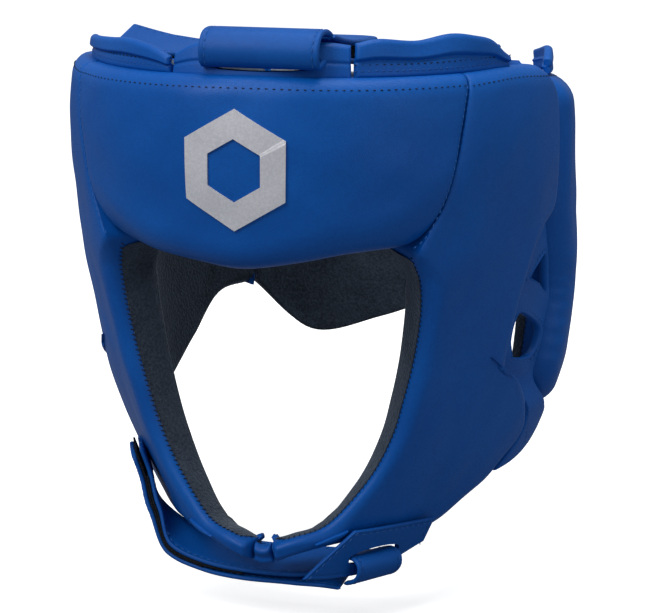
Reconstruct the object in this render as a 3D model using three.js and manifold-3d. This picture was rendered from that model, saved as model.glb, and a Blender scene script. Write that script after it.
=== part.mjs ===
// Boxing headgear: padded leather shell, splayable rear wings, crown strap and chin strap.
// Millimetres, +Z up, the face looks towards -Y and +X is the wearer's left.
// The origin is the centre of the head cavity at the forehead pad's mid-height.
import * as THREE from 'three';
import { mergeVertices } from 'three/addons/utils/BufferGeometryUtils.js';
import Module from 'manifold-3d';

// Driving dimensions. Angles are degrees round the head: 0 at the nose, + to the wearer's left.
const leather = 1.5;          // cover thickness
const liningSheet = 1.5;      // suede lining thickness
const layerGap = 1;           // clearance between cover, foam and lining
const pieceGap = 0.5;         // degrees between neighbouring pads
const roundWidth = 11;        // how far in from its edge a pad starts to curve over
const edgeShare = 0.45;       // height of a pad's edge wall as a share of its thickness
const strapThickness = 2.4;
const pileThickness = 1.2;    // hook or loop tape
const crownStrapWidth = 49;
const crownStrapX = 7.5;      // the strap sits a little to the wearer's left
const chinStrapWidth = 25;
const seamAngle = 52.5;        // forehead to side pad seam at the top
const wingAngle = 88;         // where the rear wings start
const wingEnd = 157;          // rear edge of the left wing
const tongueSeam = 140;       // seam of the rear tongue on the right wing

// The head form's outer face by height: half width ahead of and behind the ears,
// half length ahead of and behind the ears, and pad thickness.
const formStations = [
  { z: 62, frontWidth: 96.5, rearWidth: 95, frontLength: 115, rearLength: 114, thickness: 26 },
  { z: 40, frontWidth: 103.5, rearWidth: 102, frontLength: 125, rearLength: 123, thickness: 28 },
  { z: 15, frontWidth: 106, rearWidth: 105.5, frontLength: 128, rearLength: 128, thickness: 28 },
  { z: -33, frontWidth: 101, rearWidth: 107.5, frontLength: 126, rearLength: 130, thickness: 26 },
  { z: -59, frontWidth: 95.5, rearWidth: 108, frontLength: 121, rearLength: 127, thickness: 23 },
  { z: -94, frontWidth: 87, rearWidth: 105.5, frontLength: 112, rearLength: 117, thickness: 20 },
  { z: -120, frontWidth: 78, rearWidth: 98, frontLength: 106, rearLength: 106, thickness: 18 },
  { z: -150, frontWidth: 63.5, rearWidth: 86, frontLength: 100, rearLength: 95, thickness: 15.5 },
  { z: -182, frontWidth: 50, rearWidth: 74, frontLength: 93, rearLength: 84, thickness: 13 },
];

const rad = THREE.MathUtils.degToRad;
const clamp = THREE.MathUtils.clamp;
const mix = THREE.MathUtils.lerp;
const smoothstep = THREE.MathUtils.smoothstep;

// Value of one form column at a height, smooth between the stations.
function station(column, z) {
  const rows = formStations;
  let i = 0;
  while (i < rows.length - 2 && z < rows[i + 1].z) i += 1;
  const [here, next] = [rows[i], rows[i + 1]];
  const before = rows[Math.max(i - 1, 0)];
  const after = rows[Math.min(i + 2, rows.length - 1)];
  const span = here.z - next.z;
  const t = clamp((here.z - z) / span, 0, 1);
  const a = here[column];
  const b = next[column];
  const slopeA = (span * (b - before[column])) / (before.z - next.z);
  const slopeB = (span * (after[column] - a)) / (here.z - after.z);
  const t2 = t * t;
  const t3 = t2 * t;
  return a * (2 * t3 - 3 * t2 + 1) + slopeA * (t3 - 2 * t2 + t)
    + b * (3 * t2 - 2 * t3) + slopeB * (t3 - t2);
}

// Half width and half length of the outer face at an angle and height.
function halfAxes(angle, z) {
  const back = smoothstep(Math.abs(((angle + 540) % 360) - 180), 50, 110);
  return {
    width: mix(station('frontWidth', z), station('rearWidth', z), back),
    length: mix(station('frontLength', z), station('rearLength', z), back),
  };
}

function formNormal(angle, z) {
  const { width, length } = halfAxes(angle, z);
  return new THREE.Vector3(length * Math.sin(rad(angle)), -width * Math.cos(rad(angle)), 0).normalize();
}

// A point on the form, a distance out from the outer face (negative is towards the head).
function formPoint(angle, z, out) {
  const { width, length } = halfAxes(angle, z);
  const face = new THREE.Vector3(width * Math.sin(rad(angle)), -length * Math.cos(rad(angle)), z);
  return face.addScaledVector(formNormal(angle, z), out);
}

// ---------- outlines in the angle and height plane ----------

const millimetresPerDegree = 1.9;

// A smooth edge through [angle, z] points, read by its share of length.
function edge(points) {
  const flat = points.map(([angle, z]) => new THREE.Vector3(angle * millimetresPerDegree, z, 0));
  const curve = new THREE.CatmullRomCurve3(flat, false, 'centripetal');
  return (t) => {
    const p = curve.getPointAt(clamp(t, 0, 1));
    return [p.x / millimetresPerDegree, p.y];
  };
}

const mirrored = (points) => points.map(([angle, z]) => [-angle, z]);

// The surface patch between four edges that meet at its corners.
function patch({ low, high, start, end }) {
  const [lowEdge, highEdge, startEdge, endEdge] = [edge(low), edge(high), edge(start), edge(end)];
  const corner = { a: lowEdge(0), b: lowEdge(1), c: highEdge(0), d: highEdge(1) };
  return (u, v) => [0, 1].map((k) => (1 - v) * lowEdge(u)[k] + v * highEdge(u)[k]
    + (1 - u) * startEdge(v)[k] + u * endEdge(v)[k]
    - (1 - u) * (1 - v) * corner.a[k] - u * (1 - v) * corner.b[k]
    - (1 - u) * v * corner.c[k] - u * v * corner.d[k]);
}

// Shares along a side for a pad edge: wall foot, wall top, one step of the curve, then full height.
const curveSteps = [0, 0, 0.3, 1];
const curveHeights = [0, edgeShare, mix(edgeShare, 1, 0.71), 1];

function sideSamples(lengthMm, inset, middle) {
  const width = Math.min(roundWidth, lengthMm * 0.3, (lengthMm / 2 - inset) * 0.8);
  const near = curveSteps.map((step) => (inset + step * width) / lengthMm);
  const samples = near.map((t, i) => ({ t, height: curveHeights[i] }));
  const first = near[near.length - 1];
  for (let i = 1; i <= middle; i += 1) samples.push({ t: mix(first, 1 - first, i / (middle + 1)), height: 1 });
  return samples.concat(near.map((t, i) => ({ t: 1 - t, height: curveHeights[i] })).reverse());
}

// Grid of points over a patch; heightAt gets the share of full height and the pad thickness there.
function patchGrid(area, inset, middleU, middleV, heightAt) {
  const at = (u, v) => { const [angle, z] = area(u, v); return formPoint(angle, z, 0); };
  const lengthU = (v) => at(0, v).distanceTo(at(0.5, v)) + at(0.5, v).distanceTo(at(1, v));
  const lengthV = (u) => at(u, 0).distanceTo(at(u, 0.5)) + at(u, 0.5).distanceTo(at(u, 1));
  const count = middleV + 2 * curveSteps.length;
  const grid = [];
  const middleSamples = sideSamples(lengthV(0.5), inset, middleV);
  for (let j = 0; j < count; j += 1) {
    const row = [];
    const samplesU = sideSamples(lengthU(middleSamples[j].t), inset, middleU);
    for (const sampleU of samplesU) {
      const sampleV = sideSamples(lengthV(sampleU.t), inset, middleV)[j];
      const [angle, z] = area(sampleU.t, sampleV.t);
      const thickness = station('thickness', z);
      row.push(formPoint(angle, z, heightAt(sampleU.height * sampleV.height, thickness) - thickness));
    }
    grid.push(row);
  }
  return grid;
}

// ---------- closed bodies ----------

const wasm = await Module();
wasm.setup();

function asSolid(geometry) {
  const bare = new THREE.BufferGeometry();
  bare.setAttribute('position', geometry.getAttribute('position'));
  if (geometry.index) bare.setIndex(geometry.index);
  const merged = mergeVertices(bare, 1e-3);
  return new wasm.Manifold(new wasm.Mesh({
    numProp: 3,
    vertProperties: new Float32Array(merged.getAttribute('position').array),
    triVerts: new Uint32Array(merged.index.array),
  }));
}

function asGeometry(solid) {
  const mesh = solid.getMesh();
  const geometry = new THREE.BufferGeometry();
  geometry.setAttribute('position', new THREE.BufferAttribute(Float32Array.from(mesh.vertProperties), 3));
  geometry.setIndex(Array.from(mesh.triVerts));
  return geometry;
}

function geometryFromTriangles(triangles) {
  let volume = 0;
  for (const [a, b, c] of triangles) volume += a.dot(b.clone().cross(c));
  const facing = volume < 0 ? triangles.map(([a, b, c]) => [a, c, b]) : triangles;
  const numbers = facing.flat().flatMap((p) => [p.x, p.y, p.z]);
  const geometry = new THREE.BufferGeometry();
  geometry.setAttribute('position', new THREE.Float32BufferAttribute(numbers, 3));
  return mergeVertices(geometry, 1e-3);
}

function quad(triangles, a, b, c, d) {
  const thin = 1e-3;
  if (a.distanceTo(b) > thin && b.distanceTo(c) > thin && a.distanceTo(c) > thin) triangles.push([a, b, c]);
  if (a.distanceTo(c) > thin && c.distanceTo(d) > thin && a.distanceTo(d) > thin) triangles.push([a, c, d]);
}

// The body between two grids of the same size, closed by a strip round their rims.
function bodyBetween(outer, inner) {
  const triangles = [];
  const rows = outer.length;
  const columns = outer[0].length;
  for (let j = 0; j < rows - 1; j += 1) {
    for (let i = 0; i < columns - 1; i += 1) {
      quad(triangles, outer[j][i], outer[j][i + 1], outer[j + 1][i + 1], outer[j + 1][i]);
      quad(triangles, inner[j][i], inner[j + 1][i], inner[j + 1][i + 1], inner[j][i + 1]);
    }
  }
  const rim = [];
  for (let i = 0; i < columns - 1; i += 1) rim.push([0, i]);
  for (let j = 0; j < rows - 1; j += 1) rim.push([j, columns - 1]);
  for (let i = columns - 1; i > 0; i -= 1) rim.push([rows - 1, i]);
  for (let j = rows - 1; j > 0; j -= 1) rim.push([j, 0]);
  rim.forEach(([j, i], n) => {
    const [nextJ, nextI] = rim[(n + 1) % rim.length];
    quad(triangles, outer[j][i], inner[j][i], inner[nextJ][nextI], outer[nextJ][nextI]);
  });
  return geometryFromTriangles(triangles);
}

// A flat-walled sheet over a patch, between two distances from the outer face.
function sheet(outline, outFrom, outTo, stepsU, stepsV) {
  const area = patch(outline);
  const grid = (out) => Array.from({ length: stepsV + 1 }, (_, j) => Array.from({ length: stepsU + 1 }, (_unused, i) => {
    const [angle, z] = area(i / stepsU, j / stepsV);
    return formPoint(angle, z, typeof out === 'function' ? out(angle, z) : out);
  }));
  return bodyBetween(grid(outTo), grid(outFrom));
}

// A strip of constant thickness along a path: width goes along each point's own direction.
function ribbon(stops, thickness, stepsPerSpan = 2) {
  const curve = (key) => new THREE.CatmullRomCurve3(stops.map((stop) => stop[key]), false, 'centripetal');
  const centre = curve('at');
  const across = curve('across');
  const steps = (stops.length - 1) * stepsPerSpan;
  const rings = [];
  for (let i = 0; i <= steps; i += 1) {
    const t = i / steps;
    const point = centre.getPoint(t);
    const side = across.getPoint(t);
    const normal = centre.getTangent(t).cross(side).normalize().multiplyScalar(thickness / 2);
    const low = point.clone().sub(side);
    const high = point.clone().add(side);
    rings.push([low.clone().sub(normal), high.clone().sub(normal), high.clone().add(normal), low.clone().add(normal)]);
  }
  const triangles = [];
  for (let i = 0; i < steps; i += 1) {
    for (let k = 0; k < 4; k += 1) {
      const next = (k + 1) % 4;
      quad(triangles, rings[i][k], rings[i][next], rings[i + 1][next], rings[i + 1][k]);
    }
  }
  const [first, last] = [rings[0], rings[steps]];
  quad(triangles, first[0], first[3], first[2], first[1]);
  quad(triangles, last[0], last[1], last[2], last[3]);
  return geometryFromTriangles(triangles);
}

// A radial plug through the shell, for cutting a hole with the given [angle, z] outline.
function plug(outline, outFrom, outTo) {
  const ring = (out) => outline.map(([angle, z]) => formPoint(angle, z, out));
  const [inner, outer] = [ring(outFrom), ring(outTo)];
  const middle = (points) => points.reduce((sum, p) => sum.add(p), new THREE.Vector3()).divideScalar(points.length);
  const [innerMiddle, outerMiddle] = [middle(inner), middle(outer)];
  const triangles = [];
  outline.forEach((_, i) => {
    const next = (i + 1) % outline.length;
    triangles.push([innerMiddle, inner[next], inner[i]], [outerMiddle, outer[i], outer[next]]);
    quad(triangles, inner[i], inner[next], outer[next], outer[i]);
  });
  return geometryFromTriangles(triangles);
}

function cut(body, ...tools) {
  return asGeometry(tools.reduce((solid, tool) => solid.subtract(asSolid(tool)), asSolid(body)));
}

// ---------- materials and the assembly ----------

const leatherBlue = { color: 0x0b4a96, roughness: 0.45, metalness: 0 };
const foamGrey = { color: 0x5a5f66, roughness: 0.95, metalness: 0 };
const suedeNavy = { color: 0x2b3444, roughness: 0.95, metalness: 0 };
const pileBlack = { color: 0x101216, roughness: 1, metalness: 0 };
const webbingBlue = { color: 0x0d3f80, roughness: 0.8, metalness: 0 };
const emblemWhite = { color: 0xcfcfd4, roughness: 0.5, metalness: 0 };

const headgear = new THREE.Group();

function add(name, geometry, finish) {
  const mesh = new THREE.Mesh(geometry, new THREE.MeshStandardMaterial(finish));
  mesh.name = name;
  headgear.add(mesh);
}

// A pad is three layers on one patch: leather cover, foam core and suede lining.
function addPad(name, suffix, outline, middleU, middleV) {
  const area = patch(outline);
  const rim = liningSheet + layerGap;
  const grid = (inset, low, drop) => patchGrid(area, inset, middleU, middleV, (share, thickness) => (
    low + share * (thickness - drop - low)));
  const flat = (inset, height) => patchGrid(area, inset, middleU, middleV, () => height);
  const foamInset = leather + layerGap;
  add(`${name}_cover${suffix}`, bodyBetween(grid(0, rim, 0), grid(leather, rim, leather)), leatherBlue);
  add(`${name}_foam${suffix}`, bodyBetween(grid(foamInset, rim, foamInset), flat(foamInset, rim)), foamGrey);
  add(`${name}_lining${suffix}`, sheet(outline, (angle, z) => -station('thickness', z),
    (angle, z) => liningSheet - station('thickness', z), middleU + 4, middleV + 2), suedeNavy);
}

function mirrorOutline({ low, high, start, end }) {
  return { low: mirrored(low).reverse(), high: mirrored(high).reverse(), start: mirrored(end), end: mirrored(start) };
}

const sides = [
  { suffix: '_left', turn: (outline) => outline, sign: 1 },
  { suffix: '_right', turn: mirrorOutline, sign: -1 },
];

// ---------- forehead ----------

const seamLine = [[39, -31.5], [42.5, -26.5], [46, -14], [48.3, 3], [50.3, 23], [seamAngle, 37]];
const foreheadOutline = {
  low: [[-39, -31.5], [-28, -34.5], [-12, -37], [-1, -38.6], [14, -35.8], [26, -32.8], [39, -31.5]],
  high: [[-seamAngle, 37], [-27, 38], [0, 39], [27, 38], [seamAngle, 37]],
  start: mirrored(seamLine),
  end: seamLine,
};
addPad('forehead', '', foreheadOutline, 7, 2);

// Plain six-sided ring badge on the forehead.
const badgeRadius = 24;
const badgeHeight = 3;
const degreeOfFront = 1.88;   // millimetres per degree across the forehead's middle
const badgeThickness = 0.8;
const badgeOut = 1.4;
function badgeRing(radius) {
  return Array.from({ length: 6 }, (_, i) => {
    const turn = rad(30 + 60 * i);
    return [(radius * Math.cos(turn)) / degreeOfFront, radius * Math.sin(turn) + badgeHeight];
  });
}
add('forehead_emblem', cut(plug(badgeRing(badgeRadius), badgeOut, badgeOut + badgeThickness),
  plug(badgeRing(badgeRadius * 0.52), -4, 6)), emblemWhite);

// ---------- side pads, ear panels ----------

const cheekOutline = {
  low: [[4.5, -156], [5.2, -160.5], [6, -165]],
  high: [[seamAngle + pieceGap, 37], [68, 37], [82, 35]],
  start: [[4.5, -156], [14, -153.5], [27, -148.5], [38, -131], [42.5, -113], [44, -97], [45.6, -78], [46, -60], [44.7, -46],
    [41.5, -33], [43.2, -26], [46.5, -14], [48.8, 3], [50.8, 23], [seamAngle + pieceGap, 37]],
  end: [[6, -165], [14, -162], [24, -159.5], [36, -158.5], [50, -159.5], [58, -162.5], [64, -163], [71, -159.5],
    [77, -152.5], [83, -145.5], [86, -138], [89.5, -130], [90.5, -124], [88, -115], [84.5, -106.5], [80, -100],
    [74.8, -95.5], [73.6, -86], [73.8, -77.5], [74.3, -65], [75.4, -55], [78.4, -40], [82, -32.5], [85.8, -26],
    [87, -15], [86.8, 0], [86.2, 26], [82, 35]],
};
const earPanelOutline = {
  low: [[88, -138], [92, -137.5], [97, -134.5], [101.5, -128.5]],
  high: [[88, -19], [88.3, -18.5], [88.6, -19]],
  start: [[88, -138], [92.4, -127], [90.2, -115.5], [86, -106], [81, -98.8], [76.4, -94.6], [75, -86], [75, -77.5],
    [75.5, -65], [76.7, -55], [79.6, -40], [83.4, -31.6], [87, -25], [88, -19]],
  end: [[101.5, -128.5], [102.8, -121.5], [97.3, -114.7], [91.3, -102], [92.2, -92], [93.2, -80], [94.4, -70],
    [94.1, -60], [91.2, -46], [88.9, -32], [88.6, -19]],
};
const upperEarHole = [[82.1, -55.3], [84.9, -50.2], [89.1, -46.5], [90.4, -49], [91.2, -56], [92, -65], [90, -63.5], [87, -59.6]];
const lowerEarHole = [[77.6, -81.8], [78, -72.5], [79.6, -69], [84, -71.8], [91, -80.6], [90.2, -87.7], [87.6, -91.3],
  [81.4, -90.4], [79.2, -88.4]];
// The panel lies sunk between the pads, and comes out to the surface behind the cheek's lobe.
const earPanelDepth = (angle, z) => mix(-10.5, -4, smoothstep(-z, 98, 116));
const earPanelSheet = 2.8;

for (const { suffix, turn, sign } of sides) {
  addPad('side', suffix, turn(cheekOutline), 2, 22);
  const hole = (outline) => plug(outline.map(([angle, z]) => [sign * angle, z]), -19, -2);
  add(`ear_panel${suffix}`, cut(sheet(turn(earPanelOutline), earPanelDepth,
    (angle, z) => earPanelDepth(angle, z) + earPanelSheet, 4, 20),
    hole(upperEarHole), hole(lowerEarHole)), leatherBlue);
}

// ---------- rear wings, tongue and strap ----------

function wingOutline(rearEdge) {
  return {
    low: [[91.9, -100.5], [98, -113.5], [104, -119], [118, -113], [rearEdge - 8, -89], [rearEdge - 1, -82]],
    high: [[wingAngle + 0.8, 29], [105, 27], [125, 23], [rearEdge, 19]],
    start: [[91.9, -100.5], [92.9, -92], [94, -80], [95.2, -70], [94.9, -60], [92, -46], [89.6, -32], [89.2, -18], [89, 0],
      [wingAngle + 0.8, 29]],
    end: [[rearEdge - 1, -82], [rearEdge, -50], [rearEdge, -15], [rearEdge, 19]],
  };
}
addPad('rear', '_left', wingOutline(wingEnd), 6, 6);
addPad('rear', '_right', mirrorOutline(wingOutline(tongueSeam - 1)), 5, 6);

const tongueOutline = {
  low: [[tongueSeam, -82], [158, -105], [180, -99], [199, -88]],
  high: [[tongueSeam, 17], [160, 15], [180, 14], [199, 12]],
  start: [[tongueSeam, -82], [tongueSeam, -30], [tongueSeam, 17]],
  end: [[199, -88], [200, -40], [199, 12]],
};
const tongueBase = (angle, z) => -station('thickness', z);
const tongueTurned = mirrorOutline(tongueOutline);
const tongueFoamTop = liningSheet + layerGap + 5;
add('tongue_lining', sheet(tongueTurned, tongueBase, (a, z) => tongueBase(a, z) + liningSheet, 10, 7), suedeNavy);
add('tongue_foam', sheet(tongueTurned, (a, z) => tongueBase(a, z) + liningSheet + layerGap,
  (a, z) => tongueBase(a, z) + tongueFoamTop, 10, 7), foamGrey);
add('tongue_cover', sheet(tongueTurned, (a, z) => tongueBase(a, z) + tongueFoamTop + layerGap,
  (a, z) => tongueBase(a, z) + tongueFoamTop + layerGap + leather, 10, 7), leatherBlue);

function bandOutline(angleFrom, angleTo, zLow, zHigh) {
  return {
    low: [[angleFrom, zLow], [angleTo, zLow]],
    high: [[angleFrom, zHigh], [angleTo, zHigh]],
    start: [[angleFrom, zLow], [angleFrom, zHigh]],
    end: [[angleTo, zLow], [angleTo, zHigh]],
  };
}
const rearStrapZ = { low: -66, high: -24 };
const rearStrapReach = 250;
const rearLoopOut = { from: 0.5, to: 0.5 + pileThickness };
const rearHookOut = { from: 2.2, to: 2.2 + pileThickness };
const rearStrapOut = { from: 3.9, to: 3.9 + strapThickness };
add('rear_strap_anchor', sheet(bandOutline(122, 145, rearStrapZ.low - 2, rearStrapZ.high + 2), 0.5, 3.4, 5, 3), leatherBlue);
add('rear_strap', sheet(bandOutline(137, rearStrapReach, rearStrapZ.low, rearStrapZ.high),
  rearStrapOut.from, rearStrapOut.to, 20, 3), webbingBlue);
add('rear_strap_hook', sheet(bandOutline(226, rearStrapReach - 1, rearStrapZ.low + 2, rearStrapZ.high - 2),
  rearHookOut.from, rearHookOut.to, 6, 3), pileBlack);
add('rear_loop_patch', sheet(bandOutline(225, 256, rearStrapZ.low - 3, rearStrapZ.high + 3),
  rearLoopOut.from, rearLoopOut.to, 7, 3), pileBlack);

// ---------- crown: sewn yokes, band over the crown, strap and its fold-back tail ----------

const yokeOut = { from: -11, to: -8 };
const yokeShapes = [
  { low: [[26.5, 39.6], [42, 38.9], [56, 38.4], [70, 38]],
    high: [[26.5, 51], [31.5, 52.4], [42.3, 50.8], [51.5, 52.6], [58, 51], [63.8, 48.4], [67.5, 43.5], [70, 41]] },
  { low: [[19.8, 39.8], [35, 39.2], [50, 38.6], [66, 38]],
    high: [[19.8, 44.5], [24, 47], [29.6, 48.7], [36.6, 49.4], [45, 48.2], [55, 47], [63, 46], [66, 45.4]] },
];
const rearYokeShape = { low: [[96, 29.8], [110, 28.2], [124, 25]], high: [[96, 34], [103, 37], [111, 36.5], [124, 32]] };
const withEnds = ({ low, high }) => ({ low, high, start: [low[0], high[0]], end: [low[low.length - 1], high[high.length - 1]] });
sides.forEach(({ suffix, turn }, k) => {
  add(`crown_yoke${suffix}`, sheet(turn(withEnds(yokeShapes[k])), yokeOut.from, yokeOut.to, 12, 2), leatherBlue);
  add(`rear_yoke${suffix}`, sheet(turn(withEnds(rearYokeShape)), yokeOut.from, yokeOut.to, 6, 1), leatherBlue);
});

// Front yoke: a bar held up by two end posts, with the slot that the crown strap passes through.
const frontYoke = { from: -19.2, to: 25.9, top: 51.5, slotLow: 41.5, slotHigh: 46.5, post: 3 };
const [slotFrom, slotTo] = [frontYoke.from + frontYoke.post, frontYoke.to - frontYoke.post];
add('crown_yoke_front', cut(
  sheet(bandOutline(frontYoke.from, frontYoke.to, 40, frontYoke.top), yokeOut.from, yokeOut.to, 12, 1),
  plug([[slotFrom, frontYoke.slotLow], [slotTo, frontYoke.slotLow],
    [slotTo, frontYoke.slotHigh], [slotFrom, frontYoke.slotHigh]], -40, 10)), leatherBlue);

const vec = (x, y, z) => new THREE.Vector3(x, y, z);
const barY = formPoint(0, frontYoke.slotHigh, yokeOut.from).y;
const crownHalf = vec(crownStrapWidth / 2, 0, 0);
const crownStops = (points) => points.map(([y, z]) => ({ at: vec(crownStrapX, y, z), across: crownHalf }));
const bandZ = 36;             // height of the band over the crown, where the strap is sewn
add('crown_strap', ribbon(crownStops([[-6, bandZ + 3.4], [-30, bandZ + 3.1], [-60, 39], [-82, 42], [barY + 4, 44],
  [barY - 6.5, 43.2], [barY - 8.5, 48.4], [barY - 4.8, 54.4], [barY + 5, 55.5], [barY + 12, 53.6]]), strapThickness), leatherBlue);
add('crown_strap_loop', ribbon(crownStops([[-36, bandZ + 4.8], [-60, 41.3], [-78, 43.8]]), pileThickness), pileBlack);
add('crown_tail', ribbon(crownStops([[barY + 14.7, 52.6], [-80, 49.3], [-60, 46.7], [-42, 45.3], [-24, 44.6]]),
  strapThickness), leatherBlue);
add('crown_tail_hook', ribbon(crownStops([[-74, 46.5], [-60, 44.4], [-44, 43.2]]), pileThickness * 0.7), pileBlack);
const bandReach = formPoint(72, 42, yokeOut.from - 6.5);
const bandStops = [-1, -0.7, -0.35, 0, 0.35, 0.7, 1].map((t) => ({
  at: vec(t * bandReach.x, mix(-8, bandReach.y, t * t), bandZ + 6 * t * t * t * t),
  across: vec(0, 17, 0),
}));
add('crown_band', ribbon(bandStops, strapThickness), leatherBlue);

// ---------- chin: tie, keeper and strap ----------

add('chin_tie', sheet({
  low: [[-5.3, -165], [0, -166], [5.3, -165]],
  high: [[-4, -157], [0, -158], [4, -157]],
  start: [[-5.3, -165], [-4, -157]],
  end: [[5.3, -165], [4, -157]],
}, -9, -4, 4, 2), leatherBlue);

const keeperOut = { from: 1, to: 3.2 };
const keeperSlot = { from: 33.5, to: 53, low: -166.3, high: -161 };
add('chin_keeper', cut(sheet({
  low: [[17, -171], [30, -172], [48, -171.5], [63, -165]],
  high: [[34, -151], [48, -152], [64, -154]],
  start: [[17, -171], [34, -151]],
  end: [[63, -165], [64, -154]],
}, keeperOut.from, keeperOut.to, 10, 3), plug([[keeperSlot.from, keeperSlot.low], [40, keeperSlot.low],
  [46, keeperSlot.low], [keeperSlot.to, keeperSlot.low], [keeperSlot.to, keeperSlot.high],
  [46, keeperSlot.high], [40, keeperSlot.high], [keeperSlot.from, keeperSlot.high]], -6, 10)), leatherBlue);

// The chin strap's first layer: down the right cheek, under the chin and up through the keeper's slot.
const halfChin = chinStrapWidth / 2;
const chinSteps = 4;          // lengths between two stops of the chin strap and its layers
function onForm(angle, z, out) {
  const across = formNormal(angle, z).cross(vec(0, 0, 1)).multiplyScalar(-halfChin);
  return { at: formPoint(angle, z, out), across: across.multiplyScalar(Math.sign(across.y)) };
}
const slung = (x, y, z, tilt) => ({
  at: vec(x, y, z),
  across: vec(0, halfChin * Math.cos(rad(tilt)), halfChin * Math.sin(rad(tilt))),
});
const slotMiddle = (keeperSlot.from + keeperSlot.to) / 2;
const sling = [onForm(-67, -122, 4), onForm(-64, -136, 5), onForm(-59, -151, 7.8), slung(-47, -61, -165, 8),
  slung(-31, -66, -169, 12), slung(-12, -71, -169.5, 14), slung(9, -72, -169.5, 14)];
const throughKeeper = [onForm(slotMiddle, -167.5, -8), onForm(slotMiddle, -165.2, -3.4),
  onForm(slotMiddle, -163.8, 2), onForm(slotMiddle, -165.6, 6.4), onForm(slotMiddle, -169.5, 8.1),
  onForm(slotMiddle, -173.3, 6.2), onForm(slotMiddle, -175.4, 1.5)];
add('chin_strap', ribbon([...sling, slung(23, -69, -169, 8), ...throughKeeper], strapThickness, chinSteps), webbingBlue);

// Layers that lie on the sling's outer face, each a distance out from its middle.
function layer(stops, distance) {
  const curve = new THREE.CatmullRomCurve3(stops.map((stop) => stop.at), false, 'centripetal');
  return stops.map((stop, i) => ({
    at: stop.at.clone().addScaledVector(
      curve.getTangent(i / (stops.length - 1)).cross(stop.across).normalize(), -distance),
    across: stop.across,
  }));
}
const chinLayers = { loop: 2.4, hook: 4.2, tail: 6.4 };
add('chin_loop_patch', ribbon(layer(sling, chinLayers.loop).slice(1, 6), pileThickness, chinSteps), pileBlack);
add('chin_tail_hook', ribbon(layer(sling, chinLayers.hook).slice(0, 5), pileThickness, chinSteps), pileBlack);
add('chin_tail', ribbon([...layer(sling, chinLayers.tail), slung(22, -71.2, -175.9, 10), slung(30, -70.3, -176.6, 6)],
  strapThickness, chinSteps), webbingBlue);

export default headgear;
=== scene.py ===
import math

import bmesh
import bpy
import numpy as np
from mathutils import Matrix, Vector


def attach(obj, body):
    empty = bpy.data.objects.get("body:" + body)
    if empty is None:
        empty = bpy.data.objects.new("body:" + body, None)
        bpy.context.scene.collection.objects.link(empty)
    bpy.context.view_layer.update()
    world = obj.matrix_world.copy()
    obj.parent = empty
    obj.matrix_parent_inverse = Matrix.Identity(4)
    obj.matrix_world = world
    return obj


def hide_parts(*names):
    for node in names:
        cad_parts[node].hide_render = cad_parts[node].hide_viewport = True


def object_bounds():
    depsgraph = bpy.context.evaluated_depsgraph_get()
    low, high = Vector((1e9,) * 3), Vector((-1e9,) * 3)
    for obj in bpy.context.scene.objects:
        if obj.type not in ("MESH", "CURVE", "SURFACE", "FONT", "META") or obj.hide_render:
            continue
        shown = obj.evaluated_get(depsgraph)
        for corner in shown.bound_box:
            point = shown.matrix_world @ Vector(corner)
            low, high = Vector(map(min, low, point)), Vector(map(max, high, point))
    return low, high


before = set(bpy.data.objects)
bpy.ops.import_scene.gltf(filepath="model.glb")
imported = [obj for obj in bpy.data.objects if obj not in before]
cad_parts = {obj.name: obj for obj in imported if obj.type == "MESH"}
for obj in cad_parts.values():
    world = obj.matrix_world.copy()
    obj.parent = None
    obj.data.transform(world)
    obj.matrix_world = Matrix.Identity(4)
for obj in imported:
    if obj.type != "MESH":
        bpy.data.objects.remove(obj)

cadBox = [list(corner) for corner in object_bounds()]
mm = 0.001


# camera

frontView = {"azimuth": 16.0, "elevation": 8.0, "distance": 1.25, "drop": 0.0744, "lens": 161.9, "pan": 0.001}


def makeCamera(s):
    a, e = math.radians(s["azimuth"]), math.radians(s["elevation"])
    back = Vector((math.sin(a) * math.cos(e), -math.cos(a) * math.cos(e), math.sin(e)))
    up = Vector((-math.sin(a) * math.sin(e), math.cos(a) * math.sin(e), math.cos(e)))
    data = bpy.data.cameras.new("studioCamera")
    data.lens = s["lens"]
    data.sensor_width = 36
    data.clip_start, data.clip_end = 0.05, 30
    camera = bpy.data.objects.new("studioCamera", data)
    bpy.context.scene.collection.objects.link(camera)
    shift = Vector((math.cos(a), math.sin(a), 0)) * -s["pan"]
    camera.location = back * s["distance"] + shift
    camera.rotation_mode = "QUATERNION"
    camera.rotation_quaternion = (up * -s["drop"] + shift - camera.location).to_track_quat("-Z", "Y")
    bpy.context.scene.camera = camera


makeCamera(frontView)
print("camera ready")


# the head form, in millimetres

# half widths and half lengths ahead of and behind the ears, and pad thickness, by height
headForm = {
    "height": [-182, -150, -120, -94, -59, -33, 15, 40, 62],
    "frontWidth": [50, 63.5, 78, 87, 95.5, 101, 106, 103.5, 96.5],
    "rearWidth": [74, 86, 98, 105.5, 108, 107.5, 105.5, 102, 95],
    "frontLength": [93, 100, 106, 112, 121, 126, 128, 125, 115],
    "rearLength": [84, 95, 106, 117, 127, 130, 128, 123, 114],
    "thickness": [13, 15.5, 18, 20, 23, 26, 28, 28, 26],
}


def formColumn(name, z):
    heights = np.array(headForm["height"], float)
    values = np.array(headForm[name], float)
    slopes = np.gradient(values, heights)
    slopes[1:-1] = (values[2:] - values[:-2]) / (heights[2:] - heights[:-2])
    z = np.clip(z, heights[0], heights[-1])
    i = np.clip(np.searchsorted(heights, z) - 1, 0, len(heights) - 2)
    span = heights[i + 1] - heights[i]
    t = (z - heights[i]) / span
    return (values[i] * (2 * t**3 - 3 * t**2 + 1) + slopes[i] * span * (t**3 - 2 * t**2 + t)
            + values[i + 1] * (3 * t**2 - 2 * t**3) + slopes[i + 1] * span * (t**3 - t**2))


def easeStep(x, low, high):
    t = np.clip((x - low) / (high - low), 0, 1)
    return t * t * (3 - 2 * t)


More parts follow.
